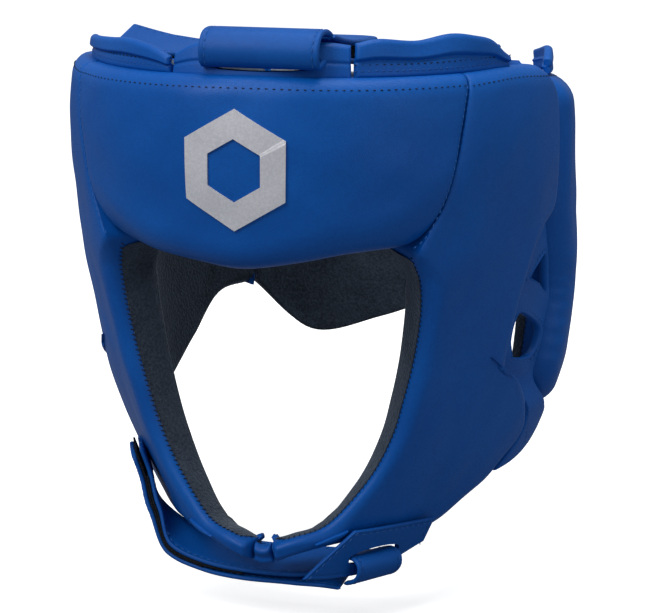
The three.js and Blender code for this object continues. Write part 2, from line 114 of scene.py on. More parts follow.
def halfAxes(angle, z):
    back = easeStep(np.abs((angle + 540) % 360 - 180), 50, 110)
    width = formColumn("frontWidth", z) * (1 - back) + formColumn("rearWidth", z) * back
    length = formColumn("frontLength", z) * (1 - back) + formColumn("rearLength", z) * back
    return width, length


def formNormal(angle, z):
    angle, z = np.broadcast_arrays(np.asarray(angle, float), np.asarray(z, float))
    width, length = halfAxes(angle, z)
    n = np.stack([length * np.sin(np.radians(angle)), -width * np.cos(np.radians(angle)),
                  np.zeros_like(z)], -1)
    return n / np.linalg.norm(n, axis=-1, keepdims=True)


def formPoint(angle, z, out=0.0):
    angle, z = np.broadcast_arrays(np.asarray(angle, float), np.asarray(z, float))
    width, length = halfAxes(angle, z)
    face = np.stack([width * np.sin(np.radians(angle)), -length * np.cos(np.radians(angle)), z], -1)
    return face + formNormal(angle, z) * np.asarray(out, float)[..., None]


# paths and patches

def smoothPath(points, perSpan=40):
    p = np.array(points, float)
    ends = np.vstack([2 * p[0] - p[1], p, 2 * p[-1] - p[-2]])
    t = np.linspace(0, 1, perSpan, endpoint=False)[:, None]
    parts = []
    for a, b, c, d in zip(ends, ends[1:], ends[2:], ends[3:]):
        t0, t1, t2 = [max(math.sqrt(np.linalg.norm(q)), 1e-4) for q in (b - a, c - b, d - c)]
        m1 = ((b - a) / t0 - (c - a) / (t0 + t1) + (c - b) / t1) * t1
        m2 = ((c - b) / t1 - (d - b) / (t1 + t2) + (d - c) / t2) * t1
        parts.append((2 * t**3 - 3 * t**2 + 1) * b + (t**3 - 2 * t**2 + t) * m1
                     + (3 * t**2 - 2 * t**3) * c + (t**3 - t**2) * m2)
    return np.vstack(parts + [p[-1:]])


def along(path, share):
    steps = np.concatenate([[0], np.cumsum(np.linalg.norm(np.diff(path, axis=0), axis=1))])
    where = np.asarray(share, float) * steps[-1]
    return np.stack([np.interp(where, steps, path[:, k]) for k in range(path.shape[1])], -1)


degreeWidth = 1.9  # millimetres round the head for one degree, for measuring outlines


def outlineEdge(points):
    flat = smoothPath([[a * degreeWidth, z] for a, z in points])
    return lambda t: along(flat, np.clip(t, 0, 1)) / [degreeWidth, 1]


def padArea(outline):
    low, high, start, end = [outlineEdge(outline[k]) for k in ("low", "high", "start", "end")]
    cornerA, cornerB, cornerC, cornerD = low(0), low(1), high(0), high(1)

    def area(u, v):
        u, v = np.broadcast_arrays(np.asarray(u, float), np.asarray(v, float))
        a, b = u[..., None], v[..., None]
        return ((1 - b) * low(u) + b * high(u) + (1 - a) * start(v) + a * end(v)
                - (1 - a) * (1 - b) * cornerA - a * (1 - b) * cornerB
                - (1 - a) * b * cornerC - a * b * cornerD)
    return area


def mirrorPoints(points):
    return [[-a, z] for a, z in points]


def mirrorOutline(o):
    return {"low": mirrorPoints(o["low"])[::-1], "high": mirrorPoints(o["high"])[::-1],
            "start": mirrorPoints(o["end"]), "end": mirrorPoints(o["start"])}


# meshes

def gridNormals(grid):
    du = np.gradient(grid, axis=1)
    dv = np.gradient(grid, axis=0)
    n = np.cross(du, dv)
    return n / np.maximum(np.linalg.norm(n, axis=-1, keepdims=True), 1e-9)


def newObject(name, verts, faces, material, smoothAngle=50, uv=None):
    mesh = bpy.data.meshes.new(name)
    mesh.from_pydata((np.asarray(verts, float) * mm).tolist(), [], faces)
    if uv is not None:
        layer = mesh.uv_layers.new(name="UVMap")
        loops = np.empty(len(mesh.loops), np.int32)
        mesh.loops.foreach_get("vertex_index", loops)
        layer.data.foreach_set("uv", np.asarray(uv, np.float32)[loops].ravel())
    work = bmesh.new()
    work.from_mesh(mesh)
    bmesh.ops.remove_doubles(work, verts=work.verts, dist=2e-6)
    bmesh.ops.dissolve_degenerate(work, edges=work.edges, dist=1e-7)
    if work.calc_volume(signed=True) < 0:
        bmesh.ops.reverse_faces(work, faces=work.faces)
    work.to_mesh(mesh)
    work.free()
    mesh.shade_smooth()
    mesh.set_sharp_from_angle(angle=math.radians(smoothAngle))
    piece = bpy.data.objects.new(name, mesh)
    bpy.context.scene.collection.objects.link(piece)
    piece.data.materials.append(material)
    return piece


# the closed body between two grids of the same size
def shellBetween(name, outer, inner, material, smoothAngle=50):
    rows, columns = outer.shape[:2]
    verts = np.vstack([outer.reshape(-1, 3), inner.reshape(-1, 3)])
    faces = []
    back = rows * columns
    for j in range(rows - 1):
        for i in range(columns - 1):
            a, d = j * columns + i, (j + 1) * columns + i
            b, c = a + 1, d + 1
            faces.append((a, b, c, d))
            faces.append((back + a, back + d, back + c, back + b))
    rim = (list(range(columns - 1))
           + [j * columns + columns - 1 for j in range(rows - 1)]
           + [(rows - 1) * columns + i for i in range(columns - 1, 0, -1)]
           + [j * columns for j in range(rows - 1, 0, -1)])
    for k, a in enumerate(rim):
        b = rim[(k + 1) % len(rim)]
        faces.append((a, back + a, back + b, b))
    v, u = np.meshgrid(np.linspace(0, 1, rows), np.linspace(0, 1, columns), indexing="ij")
    uv = np.vstack([np.stack([u, v], -1).reshape(-1, 2)] * 2)
    return newObject(name, verts, faces, material, smoothAngle, uv)


# a tube skinned over closed loops of the same count, with flat or domed ends
def loftLoops(name, loops, material, smoothAngle=45, closed=False):
    loops = np.asarray(loops, float)
    rings, count = loops.shape[:2]
    verts = loops.reshape(-1, 3).tolist()
    faces = []
    for j in range(rings if closed else rings - 1):
        following = (j + 1) % rings
        for k in range(count):
            nextK = (k + 1) % count
            faces.append((j * count + k, j * count + nextK, following * count + nextK, following * count + k))
    if not closed:
        for ring, flip in ((0, True), (rings - 1, False)):
            centre = len(verts)
            verts.append(loops[ring].mean(0).tolist())
            for k in range(count):
                a, b = ring * count + k, ring * count + (k + 1) % count
                faces.append((centre, b, a) if flip else (centre, a, b))
    return newObject(name, verts, faces, material, smoothAngle)


def ridePiece(piece, body, slot, *nodes, fill=None):
    if nodes:
        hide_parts(*nodes)
    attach(piece, body)
    return piece


# shader groups and materials

def shaderGroup(name, inputs, outputs):
    tree = bpy.data.node_groups.new(name, "ShaderNodeTree")
    for label, kind, value in inputs:
        socket = tree.interface.new_socket(label, in_out="INPUT", socket_type=kind)
        socket.default_value = value
    for label, kind in outputs:
        tree.interface.new_socket(label, in_out="OUTPUT", socket_type=kind)
    return tree, tree.nodes.new("NodeGroupInput"), tree.nodes.new("NodeGroupOutput")


def mathNode(tree, operation, a, b=None, c=None):
    node = tree.nodes.new("ShaderNodeMath")
    node.operation = operation
    for k, value in enumerate((a, b, c)):
        if value is None:
            continue
        if isinstance(value, (int, float)):
            node.inputs[k].default_value = value
        else:
            tree.links.new(value, node.inputs[k])
    return node.outputs[0]


def objectPlace(tree):
    return tree.nodes.new("ShaderNodeTexCoord").outputs["Object"]


# fine hide grain: pebbles between creases, with pores; a height from 0 to 1
def makeGrainGroup():
    tree, start, finish = shaderGroup("hideGrain", [("Scale", "NodeSocketFloat", 1100.0),
                                                    ("Crease", "NodeSocketFloat", 0.5)],
                                      [("Height", "NodeSocketFloat"), ("Crease Mask", "NodeSocketFloat")])
    place = objectPlace(tree)
    bend = tree.nodes.new("ShaderNodeTexNoise")
    bend.inputs["Scale"].default_value = 260
    bend.inputs["Detail"].default_value = 2
    tree.links.new(place, bend.inputs["Vector"])
    shift = tree.nodes.new("ShaderNodeVectorMath")
    shift.operation = "SCALE"
    shift.inputs["Scale"].default_value = 0.0016
    tree.links.new(bend.outputs["Color"], shift.inputs[0])
    moved = tree.nodes.new("ShaderNodeVectorMath")
    tree.links.new(place, moved.inputs[0])
    tree.links.new(shift.outputs[0], moved.inputs[1])
    cells = tree.nodes.new("ShaderNodeTexVoronoi")
    cells.feature = "DISTANCE_TO_EDGE"
    tree.links.new(moved.outputs[0], cells.inputs["Vector"])
    tree.links.new(start.outputs["Scale"], cells.inputs["Scale"])
    pores = tree.nodes.new("ShaderNodeTexNoise")
    pores.inputs["Detail"].default_value = 3
    tree.links.new(place, pores.inputs["Vector"])
    tree.links.new(mathNode(tree, "MULTIPLY", start.outputs["Scale"], 1.7), pores.inputs["Scale"])
    edge = tree.nodes.new("ShaderNodeMapRange")
    edge.interpolation_type = "SMOOTHSTEP"
    edge.inputs["From Max"].default_value = 0.16
    tree.links.new(cells.outputs["Distance"], edge.inputs["Value"])
    creased = mathNode(tree, "MULTIPLY", edge.outputs[0], start.outputs["Crease"])
    rest = mathNode(tree, "MULTIPLY", pores.outputs["Fac"],
                    mathNode(tree, "SUBTRACT", 1.0, start.outputs["Crease"]))
    tree.links.new(mathNode(tree, "ADD", creased, rest), finish.inputs["Height"])
    tree.links.new(mathNode(tree, "SUBTRACT", 1.0, edge.outputs[0]), finish.inputs["Crease Mask"])
    return tree


# slow changes of tone and gloss over a surface, from handling and from uneven dye
def makeHandlingGroup():
    tree, start, finish = shaderGroup("handling", [("Scale", "NodeSocketFloat", 18.0),
                                                   ("Speck", "NodeSocketFloat", 420.0)],
                                      [("Tone", "NodeSocketFloat"), ("Speckle", "NodeSocketFloat")])
    place = objectPlace(tree)
    broad = tree.nodes.new("ShaderNodeTexNoise")
    broad.inputs["Detail"].default_value = 5
    broad.inputs["Roughness"].default_value = 0.55
    broad.inputs["Distortion"].default_value = 0.6
    tree.links.new(place, broad.inputs["Vector"])
    tree.links.new(start.outputs["Scale"], broad.inputs["Scale"])
    fine = tree.nodes.new("ShaderNodeTexNoise")
    fine.inputs["Detail"].default_value = 2
    tree.links.new(place, fine.inputs["Vector"])
    tree.links.new(start.outputs["Speck"], fine.inputs["Scale"])
    for source, label in ((broad, "Tone"), (fine, "Speckle")):
        spread = tree.nodes.new("ShaderNodeMapRange")
        spread.inputs["From Min"].default_value = 0.3
        spread.inputs["From Max"].default_value = 0.7
        tree.links.new(source.outputs["Fac"], spread.inputs["Value"])
        tree.links.new(spread.outputs[0], finish.inputs[label])
    return tree


# crossing threads seen as a plain weave, for tape backs and webbing
def makeWeaveGroup():
    tree, start, finish = shaderGroup("plainWeave", [("Scale", "NodeSocketFloat", 700.0)],
                                      [("Height", "NodeSocketFloat")])
    place = objectPlace(tree)
    heights = []
    for direction in ("X", "Z"):
        wave = tree.nodes.new("ShaderNodeTexWave")
        wave.bands_direction = direction
        wave.inputs["Distortion"].default_value = 0.4
        tree.links.new(place, wave.inputs["Vector"])
        tree.links.new(start.outputs["Scale"], wave.inputs["Scale"])
        heights.append(wave.outputs["Fac"])
    tree.links.new(mathNode(tree, "MAXIMUM", *heights), finish.inputs["Height"])
    return tree


grainGroup = makeGrainGroup()
handlingGroup = makeHandlingGroup()
weaveGroup = makeWeaveGroup()


def placeGroup(tree, group, **values):
    node = tree.nodes.new("ShaderNodeGroup")
    node.node_tree = group
    for label, value in values.items():
        node.inputs[label].default_value = value
    return node


def newMaterial(name, roughness, specular=0.5, **sockets):
    material = bpy.data.materials.new(name)
    material.use_nodes = True
    tree = material.node_tree
    shader = tree.nodes["Principled BSDF"]
    shader.inputs["Roughness"].default_value = roughness
    shader.inputs["Specular IOR Level"].default_value = specular
    for label, value in sockets.items():
        shader.inputs[label].default_value = value
    return material, tree, shader


def blendColor(tree, mask, low, high):
    node = tree.nodes.new("ShaderNodeMix")
    node.data_type = "RGBA"
    node.inputs["A"].default_value = (*low, 1)
    node.inputs["B"].default_value = (*high, 1)
    tree.links.new(mask, node.inputs["Factor"])
    return node.outputs["Result"]


def bumpFrom(tree, shader, height, strength, distance):
    bump = tree.nodes.new("ShaderNodeBump")
    bump.inputs["Strength"].default_value = strength
    bump.inputs["Distance"].default_value = distance
    tree.links.new(height, bump.inputs["Height"])
    tree.links.new(bump.outputs["Normal"], shader.inputs["Normal"])


leatherLook = {"dark": (0.0006, 0.078, 0.36), "light": (0.0012, 0.108, 0.46), "roughness": 0.42,
               "grain": 1050.0, "grainDepth": 0.00012}


def coatedLeather(name, s, tint=1.0):
    material, tree, shader = newMaterial(name, s["roughness"], 0.22)
    handled = placeGroup(tree, handlingGroup, Scale=16.0, Speck=520.0)
    grain = placeGroup(tree, grainGroup, Scale=s["grain"], Crease=0.55)
    dye = mathNode(tree, "ADD", mathNode(tree, "MULTIPLY", handled.outputs["Tone"], 0.7),
                   mathNode(tree, "MULTIPLY", handled.outputs["Speckle"], 0.3))
    dye = mathNode(tree, "SUBTRACT", dye, mathNode(tree, "MULTIPLY", grain.outputs["Crease Mask"], 0.35))
    color = blendColor(tree, dye, [c * tint for c in s["dark"]], [c * tint for c in s["light"]])
    tree.links.new(color, shader.inputs["Base Color"])
    gloss = mathNode(tree, "MULTIPLY_ADD", handled.outputs["Tone"], 0.10, s["roughness"] - 0.05)
    gloss = mathNode(tree, "MULTIPLY_ADD", grain.outputs["Crease Mask"], 0.10, gloss)
    tree.links.new(gloss, shader.inputs["Roughness"])
    bumpFrom(tree, shader, grain.outputs["Height"], 0.35, s["grainDepth"])
    return material


def suedeCloth(name, dark, light, strength=0.8):
    material, tree, shader = newMaterial(name, 0.95, 0.15, **{"Sheen Weight": 0.35, "Sheen Roughness": 0.5})
    shader.inputs["Sheen Tint"].default_value = (0.55, 0.65, 0.8, 1)
    handled = placeGroup(tree, handlingGroup, Scale=45.0, Speck=900.0)
    nap = mathNode(tree, "ADD", mathNode(tree, "MULTIPLY", handled.outputs["Tone"], 0.45),
                   mathNode(tree, "MULTIPLY", handled.outputs["Speckle"], 0.55))
    tree.links.new(blendColor(tree, nap, dark, light), shader.inputs["Base Color"])
    bumpFrom(tree, shader, nap, strength, 0.0006)
    return material


def pileTape(name, dark, light):
    material, tree, shader = newMaterial(name, 0.9, 0.2)
    handled = placeGroup(tree, handlingGroup, Scale=120.0, Speck=1600.0)
    weave = placeGroup(tree, weaveGroup, Scale=300.0)
    tuft = mathNode(tree, "MULTIPLY", handled.outputs["Speckle"],
                    mathNode(tree, "ADD", weave.outputs["Height"], 0.4))
    tree.links.new(blendColor(tree, tuft, dark, light), shader.inputs["Base Color"])
    bumpFrom(tree, shader, tuft, 0.9, 0.0008)
    return material


def spunThread(name, dark, light):
    material, tree, shader = newMaterial(name, 0.6, 0.3)
    handled = placeGroup(tree, handlingGroup, Scale=200.0, Speck=2500.0)
    tree.links.new(blendColor(tree, handled.outputs["Speckle"], dark, light), shader.inputs["Base Color"])
    bumpFrom(tree, shader, handled.outputs["Speckle"], 0.5, 0.0002)
    return material


def paddingFoam(name):
    material, tree, shader = newMaterial(name, 0.95, 0.2)
    cells = placeGroup(tree, grainGroup, Scale=1500.0, Crease=0.8)
    handled = placeGroup(tree, handlingGroup, Scale=30.0, Speck=800.0)
    tree.links.new(blendColor(tree, handled.outputs["Speckle"], (0.14, 0.15, 0.16), (0.24, 0.25, 0.27)),
                   shader.inputs["Base Color"])
    bumpFrom(tree, shader, cells.outputs["Height"], 0.7, 0.0003)
    return material


def printedFilm(name):
    material, tree, shader = newMaterial(name, 0.42, 0.45)
    handled = placeGroup(tree, handlingGroup, Scale=60.0, Speck=900.0)
    grain = placeGroup(tree, grainGroup, Scale=1050.0, Crease=0.55)
    dye = mathNode(tree, "SUBTRACT", handled.outputs["Speckle"],
                   mathNode(tree, "MULTIPLY", grain.outputs["Crease Mask"], 0.4))
    tree.links.new(blendColor(tree, dye, (0.56, 0.56, 0.60), (0.66, 0.66, 0.70)), shader.inputs["Base Color"])
    bumpFrom(tree, shader, grain.outputs["Height"], 0.25, 0.00008)
    return material


blueLeather = coatedLeather("blueLeather", leatherLook)
strapLeather = coatedLeather("strapLeather", {**leatherLook, "roughness": 0.5, "grain": 1300.0}, 0.92)
navySuede = suedeCloth("navySuede", (0.012, 0.019, 0.032), (0.062, 0.084, 0.118))
blackPile = pileTape("blackPile", (0.004, 0.0045, 0.006), (0.022, 0.024, 0.030))
blueThread = spunThread("blueThread", (0.010, 0.085, 0.33), (0.03, 0.15, 0.46))
darkThread = spunThread("darkThread", (0.004, 0.009, 0.022), (0.012, 0.022, 0.05))
greyFoam = paddingFoam("greyFoam")
whiteFilm = printedFilm("whiteFilm")
print("materials ready")


# pads: a rolled leather cover, a foam core and a suede tray on one outline

padShape = {
    "skin": 1.3,           # leather thickness
    "foamInset": 2.6,
    "lining": 0.6,         # how far the suede stands proud of the leather
    "middleU": 30,
    "middleV": 40,
}
# for each kind of edge: how far its shoulder reaches in, the height of its outermost line
# as a share of thickness, how far its wall tucks back in at the lining, 1 for a flush seam,
# and the turn of the roll up to which the suede climbs
edgeKinds = {
    "brow": (15, 0.46, 5.0, 0, -36),
    "crown": (7.5, 0.80, 3.0, 0, -84),
    "face": (6.5, 0.74, 7.5, 0, -5),
    "jaw": (8.0, 0.52, 5.0, 0, -34),
    "ear": (7.0, 0.60, 4.0, 0, -36),
    "tip": (4.0, 0.5, 2.0, 0, -20),
    "wing": (13, 0.46, 4.0, 0, -34),
    "seam": (9, 0.8, 0.3, 1, -60),
}
rollTurn = np.radians([-90, -72, -54, -36, -18, 0, 16, 31, 45, 57, 68, 79, 90])
seamInset = np.array([0.2, 0.0, -0.2, -0.33, -0.36, -0.34, -0.2, 0.15, 0.7, 1.6, 3.0, 5.2, 9.0])
seamShare = np.array([0, 0.5, 0.8, 0.95, 1, 1, 1, 1, 1, 1, 1, 1, 1])
seamDrop = np.array([0, 0, 1.0, 1.9, 1.7, 1.4, 1.05, 0.72, 0.46, 0.26, 0.12, 0.04, 0])
trayShare = np.array([0, 0.14, 0.32, 0.55, 0.8, 1, 1, 1])
trayExtra = np.array([0, 0, 0, 0, 0, 0, 1.5, 4.5])
widestShoulder, widestTuck = 0.36, 0.3  # most that a shoulder or a tuck takes of a pad's width


def kindAt(kinds, side, share):
    kind = kinds[side]
    return np.array(kind(share) if callable(kind) else edgeKinds[kind], float)


def blendKinds(first, second, weight):
    return np.array(edgeKinds[first], float) * (1 - weight) + np.array(edgeKinds[second], float) * weight


def wallInset(turn, tuck):
    return tuck * (0.55 * (1 - np.cos(turn)) + 0.45 * np.abs(turn) / (np.pi / 2))


# inset in millimetres, share of full height, and drop below it, for each step in from an edge
def edgeSteps(kind, length, extra=0.0):
    width, widest, tuck, seam = kind[:4]
    width, tuck = min(width, widestShoulder * length), min(tuck, widestTuck * length)
    high = np.maximum(rollTurn, 0)
    wall = wallInset(rollTurn, tuck) if extra == 0 else tuck
    inset = np.where(rollTurn < 0, wall, width * (1 - np.cos(high)) + (0 if extra == 0 else tuck))
    share = np.where(rollTurn < 0, widest * (1 + np.sin(rollTurn)), widest + (1 - widest) * np.sin(high))
    inset = inset * (1 - seam) + np.minimum(seamInset, 0.4 * length) * seam + extra
    if extra:
        inset = np.minimum(inset, 0.47 * length * np.linspace(0.9, 1, len(inset)))
    return inset, share * (1 - seam) + seamShare * seam, seamDrop * seam


def traySteps(kind, length, offset):
    _, widest, tuck, seam, rim = kind
    tuck = min(tuck, widestTuck * length)
    turn = np.radians(rim + (-90 - rim) * trayShare)
    inset = wallInset(turn, tuck) + trayExtra * min(1, length / 40) - offset * np.cos(turn)
    share = widest * (1 + np.sin(turn))
    flush = 0.3 + np.arange(len(turn)) * 0.5
    return inset * (1 - seam) + flush * seam, share * (1 - seam), offset * (-np.sin(turn) * (1 - seam) + seam)


def fullSteps(near, far, middle, slantNear=1.0, slantFar=1.0):
    start, end = near[0] / slantNear, far[0] / slantFar
    between = np.linspace(start[-1], 1 - end[-1], middle + 2)[1:-1]
    place = np.concatenate([start, between, 1 - end[::-1]])
    return [place] + [np.concatenate([near[k], np.full(middle, near[k][-1]), far[k][::-1]]) for k in (1, 2)]


# how slanted the grid lines meet an edge, so that rolls keep their width on the skew
def slantAt(area, fixed, value, alongU):
    h = 0.01
    inward = np.sign(0.5 - value) * h
    a, b = (value, fixed) if alongU else (fixed, value)
    spots = [(a, b), (a + inward, b) if alongU else (a, b + inward)]
    for turn in (-h, h):
        spots.append((a, np.clip(b + turn, 0, 1)) if alongU else (np.clip(a + turn, 0, 1), b))
    points = [formPoint(*np.moveaxis(area(*spot), -1, 0)) for spot in spots]
    across, edge = points[1] - points[0], points[3] - points[2]
    turn = np.linalg.norm(np.cross(across, edge)) / max(np.linalg.norm(across) * np.linalg.norm(edge), 1e-9)
    return max(turn, 0.5)


def crossLength(area, share, alongU):
    line = np.linspace(0, 1, 15)
    spot = area(line, np.full(15, share)) if alongU else area(np.full(15, share), line)
    return np.linalg.norm(np.diff(formPoint(spot[..., 0], spot[..., 1]), axis=0), axis=-1).sum()


# u, v, and the two heights of a grid whose rows and columns gather at a pad's edges
def padGrid(area, kinds, s, stepsFor):
    def samples(share, alongU, slanted=True):
        near, far = ("start", "end") if alongU else ("low", "high")
        length = crossLength(area, share, alongU)
        parts = []
        for side in (near, far):
            inset, height, drop = stepsFor(kindAt(kinds, side, share), length)
            parts.append([inset / length, height, drop])
        slants = [slantAt(area, share, edge, alongU) if slanted else 1.0 for edge in (0.0, 1.0)]
        return fullSteps(parts[0], parts[1], s["middleU" if alongU else "middleV"], *slants)
    middleRows = samples(0.5, False, False)[0]
    middleColumns = samples(0.5, True, False)[0]
    rowParts = [samples(float(np.clip(v, 0, 1)), True) for v in middleRows]
    columnParts = [samples(float(np.clip(u, 0, 1)), False) for u in middleColumns]
    u, shareU, dropU = [np.array([part[k] for part in rowParts]) for k in range(3)]
    v, shareV, dropV = [np.array([part[k] for part in columnParts]).T for k in range(3)]
    spot = area(u, v)
    return spot[..., 0], spot[..., 1], (shareU, shareV), (dropU, dropV)


# the slow unevenness that foam has under leather, in millimetres
def unevenness(angle, z, seed, amount):
    x, y = angle * degreeWidth, z
    rng = np.random.default_rng(seed)
    total = np.zeros_like(x)
    for wave in (62, 44, 31, 23, 17):
        for _ in range(2):
            turn, phase = rng.uniform(0, np.pi), rng.uniform(0, 2 * np.pi)
            total += wave / 60 * np.sin((x * np.cos(turn) + y * np.sin(turn)) * 2 * np.pi / wave + phase)
    return total * amount / 3


def makePad(name, suffix, outline, kinds, body, nodes, s=None, relief=None, seed=1, fill=0.9):
    s = {**padShape, **(s or {})}
    area = padArea(outline)
    angle, z, (shareU, shareV), (dropU, dropV) = padGrid(area, kinds, s, edgeSteps)
    share = shareU * shareV
    thickness = formColumn("thickness", z)
    lift = lambda a, h, q: q**2 * unevenness(a, h, seed, 0.5) + (relief(a, h, q) if relief else 0)
    out = share * thickness - dropU * shareV - dropV * shareU + lift(angle, z, share)
    outer = formPoint(angle, z, np.maximum(out, 0.4) - thickness)
    facing = gridNormals(outer)
    if np.sum(facing * formNormal(angle, z)) < 0:
        facing = -facing
    leather = shellBetween(name + "_leather" + suffix, outer, outer - facing * s["skin"], blueLeather, 60)
    ridePiece(leather, body, "leather_blue", nodes["cover"], fill=fill)

    coarse = {"middleU": 10, "middleV": 24}
    foamSteps = lambda kind, length: edgeSteps(kind, length, s["foamInset"])
    angle, z, (shareU, shareV), (dropU, dropV) = padGrid(area, kinds, coarse, foamSteps)
    depth = formColumn("thickness", z)
    height = np.maximum(shareU * shareV * (depth - 4.4) - dropU - dropV, 0.05)
    core = shellBetween(name + "_core" + suffix, formPoint(angle, z, height + 2.0 - depth),
                        formPoint(angle, z, 1.7 - depth), greyFoam)
    ridePiece(core, body, "foam_grey", nodes["foam"])

    faces = []
    for offset in (s["lining"], -0.5):
        angle, z, shares, drops = padGrid(area, kinds, {"middleU": 26, "middleV": s.get("trayRows", 60)},
                                          lambda k, n: traySteps(k, n, offset))
        lower = np.maximum(*drops) if offset < 0 else np.minimum(*drops)
        nap = unevenness(angle, z, seed + 7, 0.14) * (offset > 0)
        depth = formColumn("thickness", z)
        faces.append(formPoint(angle, z, np.maximum(*shares) * depth - lower + nap - depth))
    suede = shellBetween(name + "_suede" + suffix, faces[1], faces[0], navySuede)
    ridePiece(suede, body, "suede_navy", nodes["lining"])
    return area, lift


def padNodes(base, suffix=""):
    return {"cover": f"{base}_cover{suffix}", "foam": f"{base}_foam{suffix}",
            "lining": f"{base}_lining{suffix}"}


def mirrorKinds(kinds):
    return {**kinds, "start": kinds["end"], "end": kinds["start"]}


# stitch runs, gathered by body and thread, and made with Geometry Nodes at the end

stitchRuns = {}


def addRun(body, look, points, facings):
    stitchRuns.setdefault((body, look), []).append((np.asarray(points, float), np.asarray(facings, float)))


# a line that keeps its distance from a pad's edge, at one turn of its roll, with the way it faces
def rollLine(area, kinds, side, turn, proud, shares, lift=None):
    alongU = side in ("start", "end")
    points, facings = [], []
    for share in shares:
        kind = kindAt(kinds, side, share)
        length = crossLength(area, share, alongU)
        steps = edgeSteps(kind, length)
        t = math.radians(kind[4] + 2 if turn is None else turn)
        inset, level, drop = [np.interp(t, rollTurn, column) for column in steps]
        near = 0.0 if side in ("start", "low") else 1.0
        sign = 1 if near == 0 else -1
        place = near + sign * inset / length / slantAt(area, share, near, alongU)
        ahead = place + sign * 0.01
        ends = (place, ahead)
        spots = [area(end, share) if alongU else area(share, end) for end in ends]
        base = formPoint(spots[0][..., 0], spots[0][..., 1])
        inward = formPoint(spots[1][..., 0], spots[1][..., 1]) - base
        normal = formNormal(spots[0][..., 0], spots[0][..., 1])
        full = formColumn("thickness", spots[0][..., 1])
        raised = lift(spots[0][..., 0], spots[0][..., 1], level) if lift else 0
        inward = inward / np.linalg.norm(inward)
        facing = -math.cos(t) * inward * (1 - kind[3]) + (math.sin(t) * (1 - kind[3]) + kind[3]) * normal
        facing = facing / np.linalg.norm(facing)
        points.append(base + normal * (level * full - drop - full + raised) + facing * proud)
        facings.append(facing)
    return np.array(points), np.array(facings)


def rimStitches(area, kinds, sides, body, look="lining", turn=None, proud=0.4, count=160, spans=None):
    for side in sides:
        low, high = (spans or {}).get(side, (0.004, 0.996))
        addRun(body, look, *rollLine(area, kinds, side, turn, proud, np.linspace(low, high, count)))


sides = {"_left": 1, "_right": -1}

# outlines are [degrees round the head, height]; 0 is the nose and + the wearer's left
seamLine = [[39, -31.5], [42.5, -26.5], [46, -14], [48.3, 3], [50.3, 23], [52.5, 37]]
foreheadOutline = {
    "low": [[-39, -31.5], [-28, -34.5], [-12, -37], [-1, -38.6], [14, -35.8], [26, -32.8], [39, -31.5]],
    "high": [[-52.5, 37], [-27, 38], [0, 39], [27, 38], [52.5, 37]],
    "start": mirrorPoints(seamLine),
    "end": seamLine,
}
cheekOutline = {
    "low": [[4.5, -156], [5.2, -160.5], [6, -165]],
    "high": [[53, 37], [68, 37], [82, 35]],
    "start": [[4.5, -156], [14, -153.5], [27, -148.5], [38, -131], [42.5, -113], [44, -97], [45.6, -78],
              [46, -60],
              [44.7, -46], [41.5, -33], [43.2, -26], [46.5, -14], [48.8, 3], [50.8, 23], [53, 37]],
    "end": [[6, -165], [14, -162], [24, -159.5], [36, -158.5], [50, -159.5], [58, -162.5], [64, -163],
            [71, -159.5], [77, -152.5], [83, -145.5], [86, -138], [89.5, -130], [90.5, -124], [88, -115],
            [84.5, -106.5], [80, -100],
            [74.8, -95.5], [73.6, -86], [73.8, -77.5], [74.3, -65], [75.4, -55], [78.4, -40], [82, -32.5],
            [85.8, -26], [87, -15], [86.8, 0], [86.2, 26], [82, 35]],
}


# the share of an outline's length at which it passes closest to a point
def shareNear(points, place):
    path = smoothPath([[a * degreeWidth, z] for a, z in points])
    steps = np.concatenate([[0], np.cumsum(np.linalg.norm(np.diff(path, axis=0), axis=1))])
    k = np.argmin(np.linalg.norm(path - [place[0] * degreeWidth, place[1]], axis=1))
    return float(steps[k] / steps[-1])


# where the eye opening gives way to the forehead seam, and the jaw to the ear
seamFrom = shareNear(cheekOutline["start"], [41.5, -33])
earFrom = shareNear(cheekOutline["end"], [80, -100])


def cheekFront(share):
    if share < seamFrom - 0.03:
        return blendKinds("tip", "face", float(easeStep(share, 0.0, 0.05)))
    return blendKinds("face", "seam", float(easeStep(share, seamFrom - 0.016, seamFrom + 0.012)))


def cheekBack(share):
    if share < 0.1:
        return blendKinds("tip", "jaw", float(easeStep(share, 0.0, 0.08)))
    return blendKinds("jaw", "ear", float(easeStep(share, earFrom - 0.03, earFrom + 0.03)))


def foreheadRelief(angle, z, share):
    return 0.8 * np.exp(-((z - 4) / 30)**2) * np.cos(np.radians(angle * 1.3)) * share**2


def cheekRelief(angle, z, share):
    a = np.abs(angle)
    valley = -0.5 * np.exp(-((a - 60 - (z + 60) * 0.05) / 9)**2)
    valley = valley * easeStep(z, -120, -70) * (1 - easeStep(z, -30, 5))
    return valley * share**2


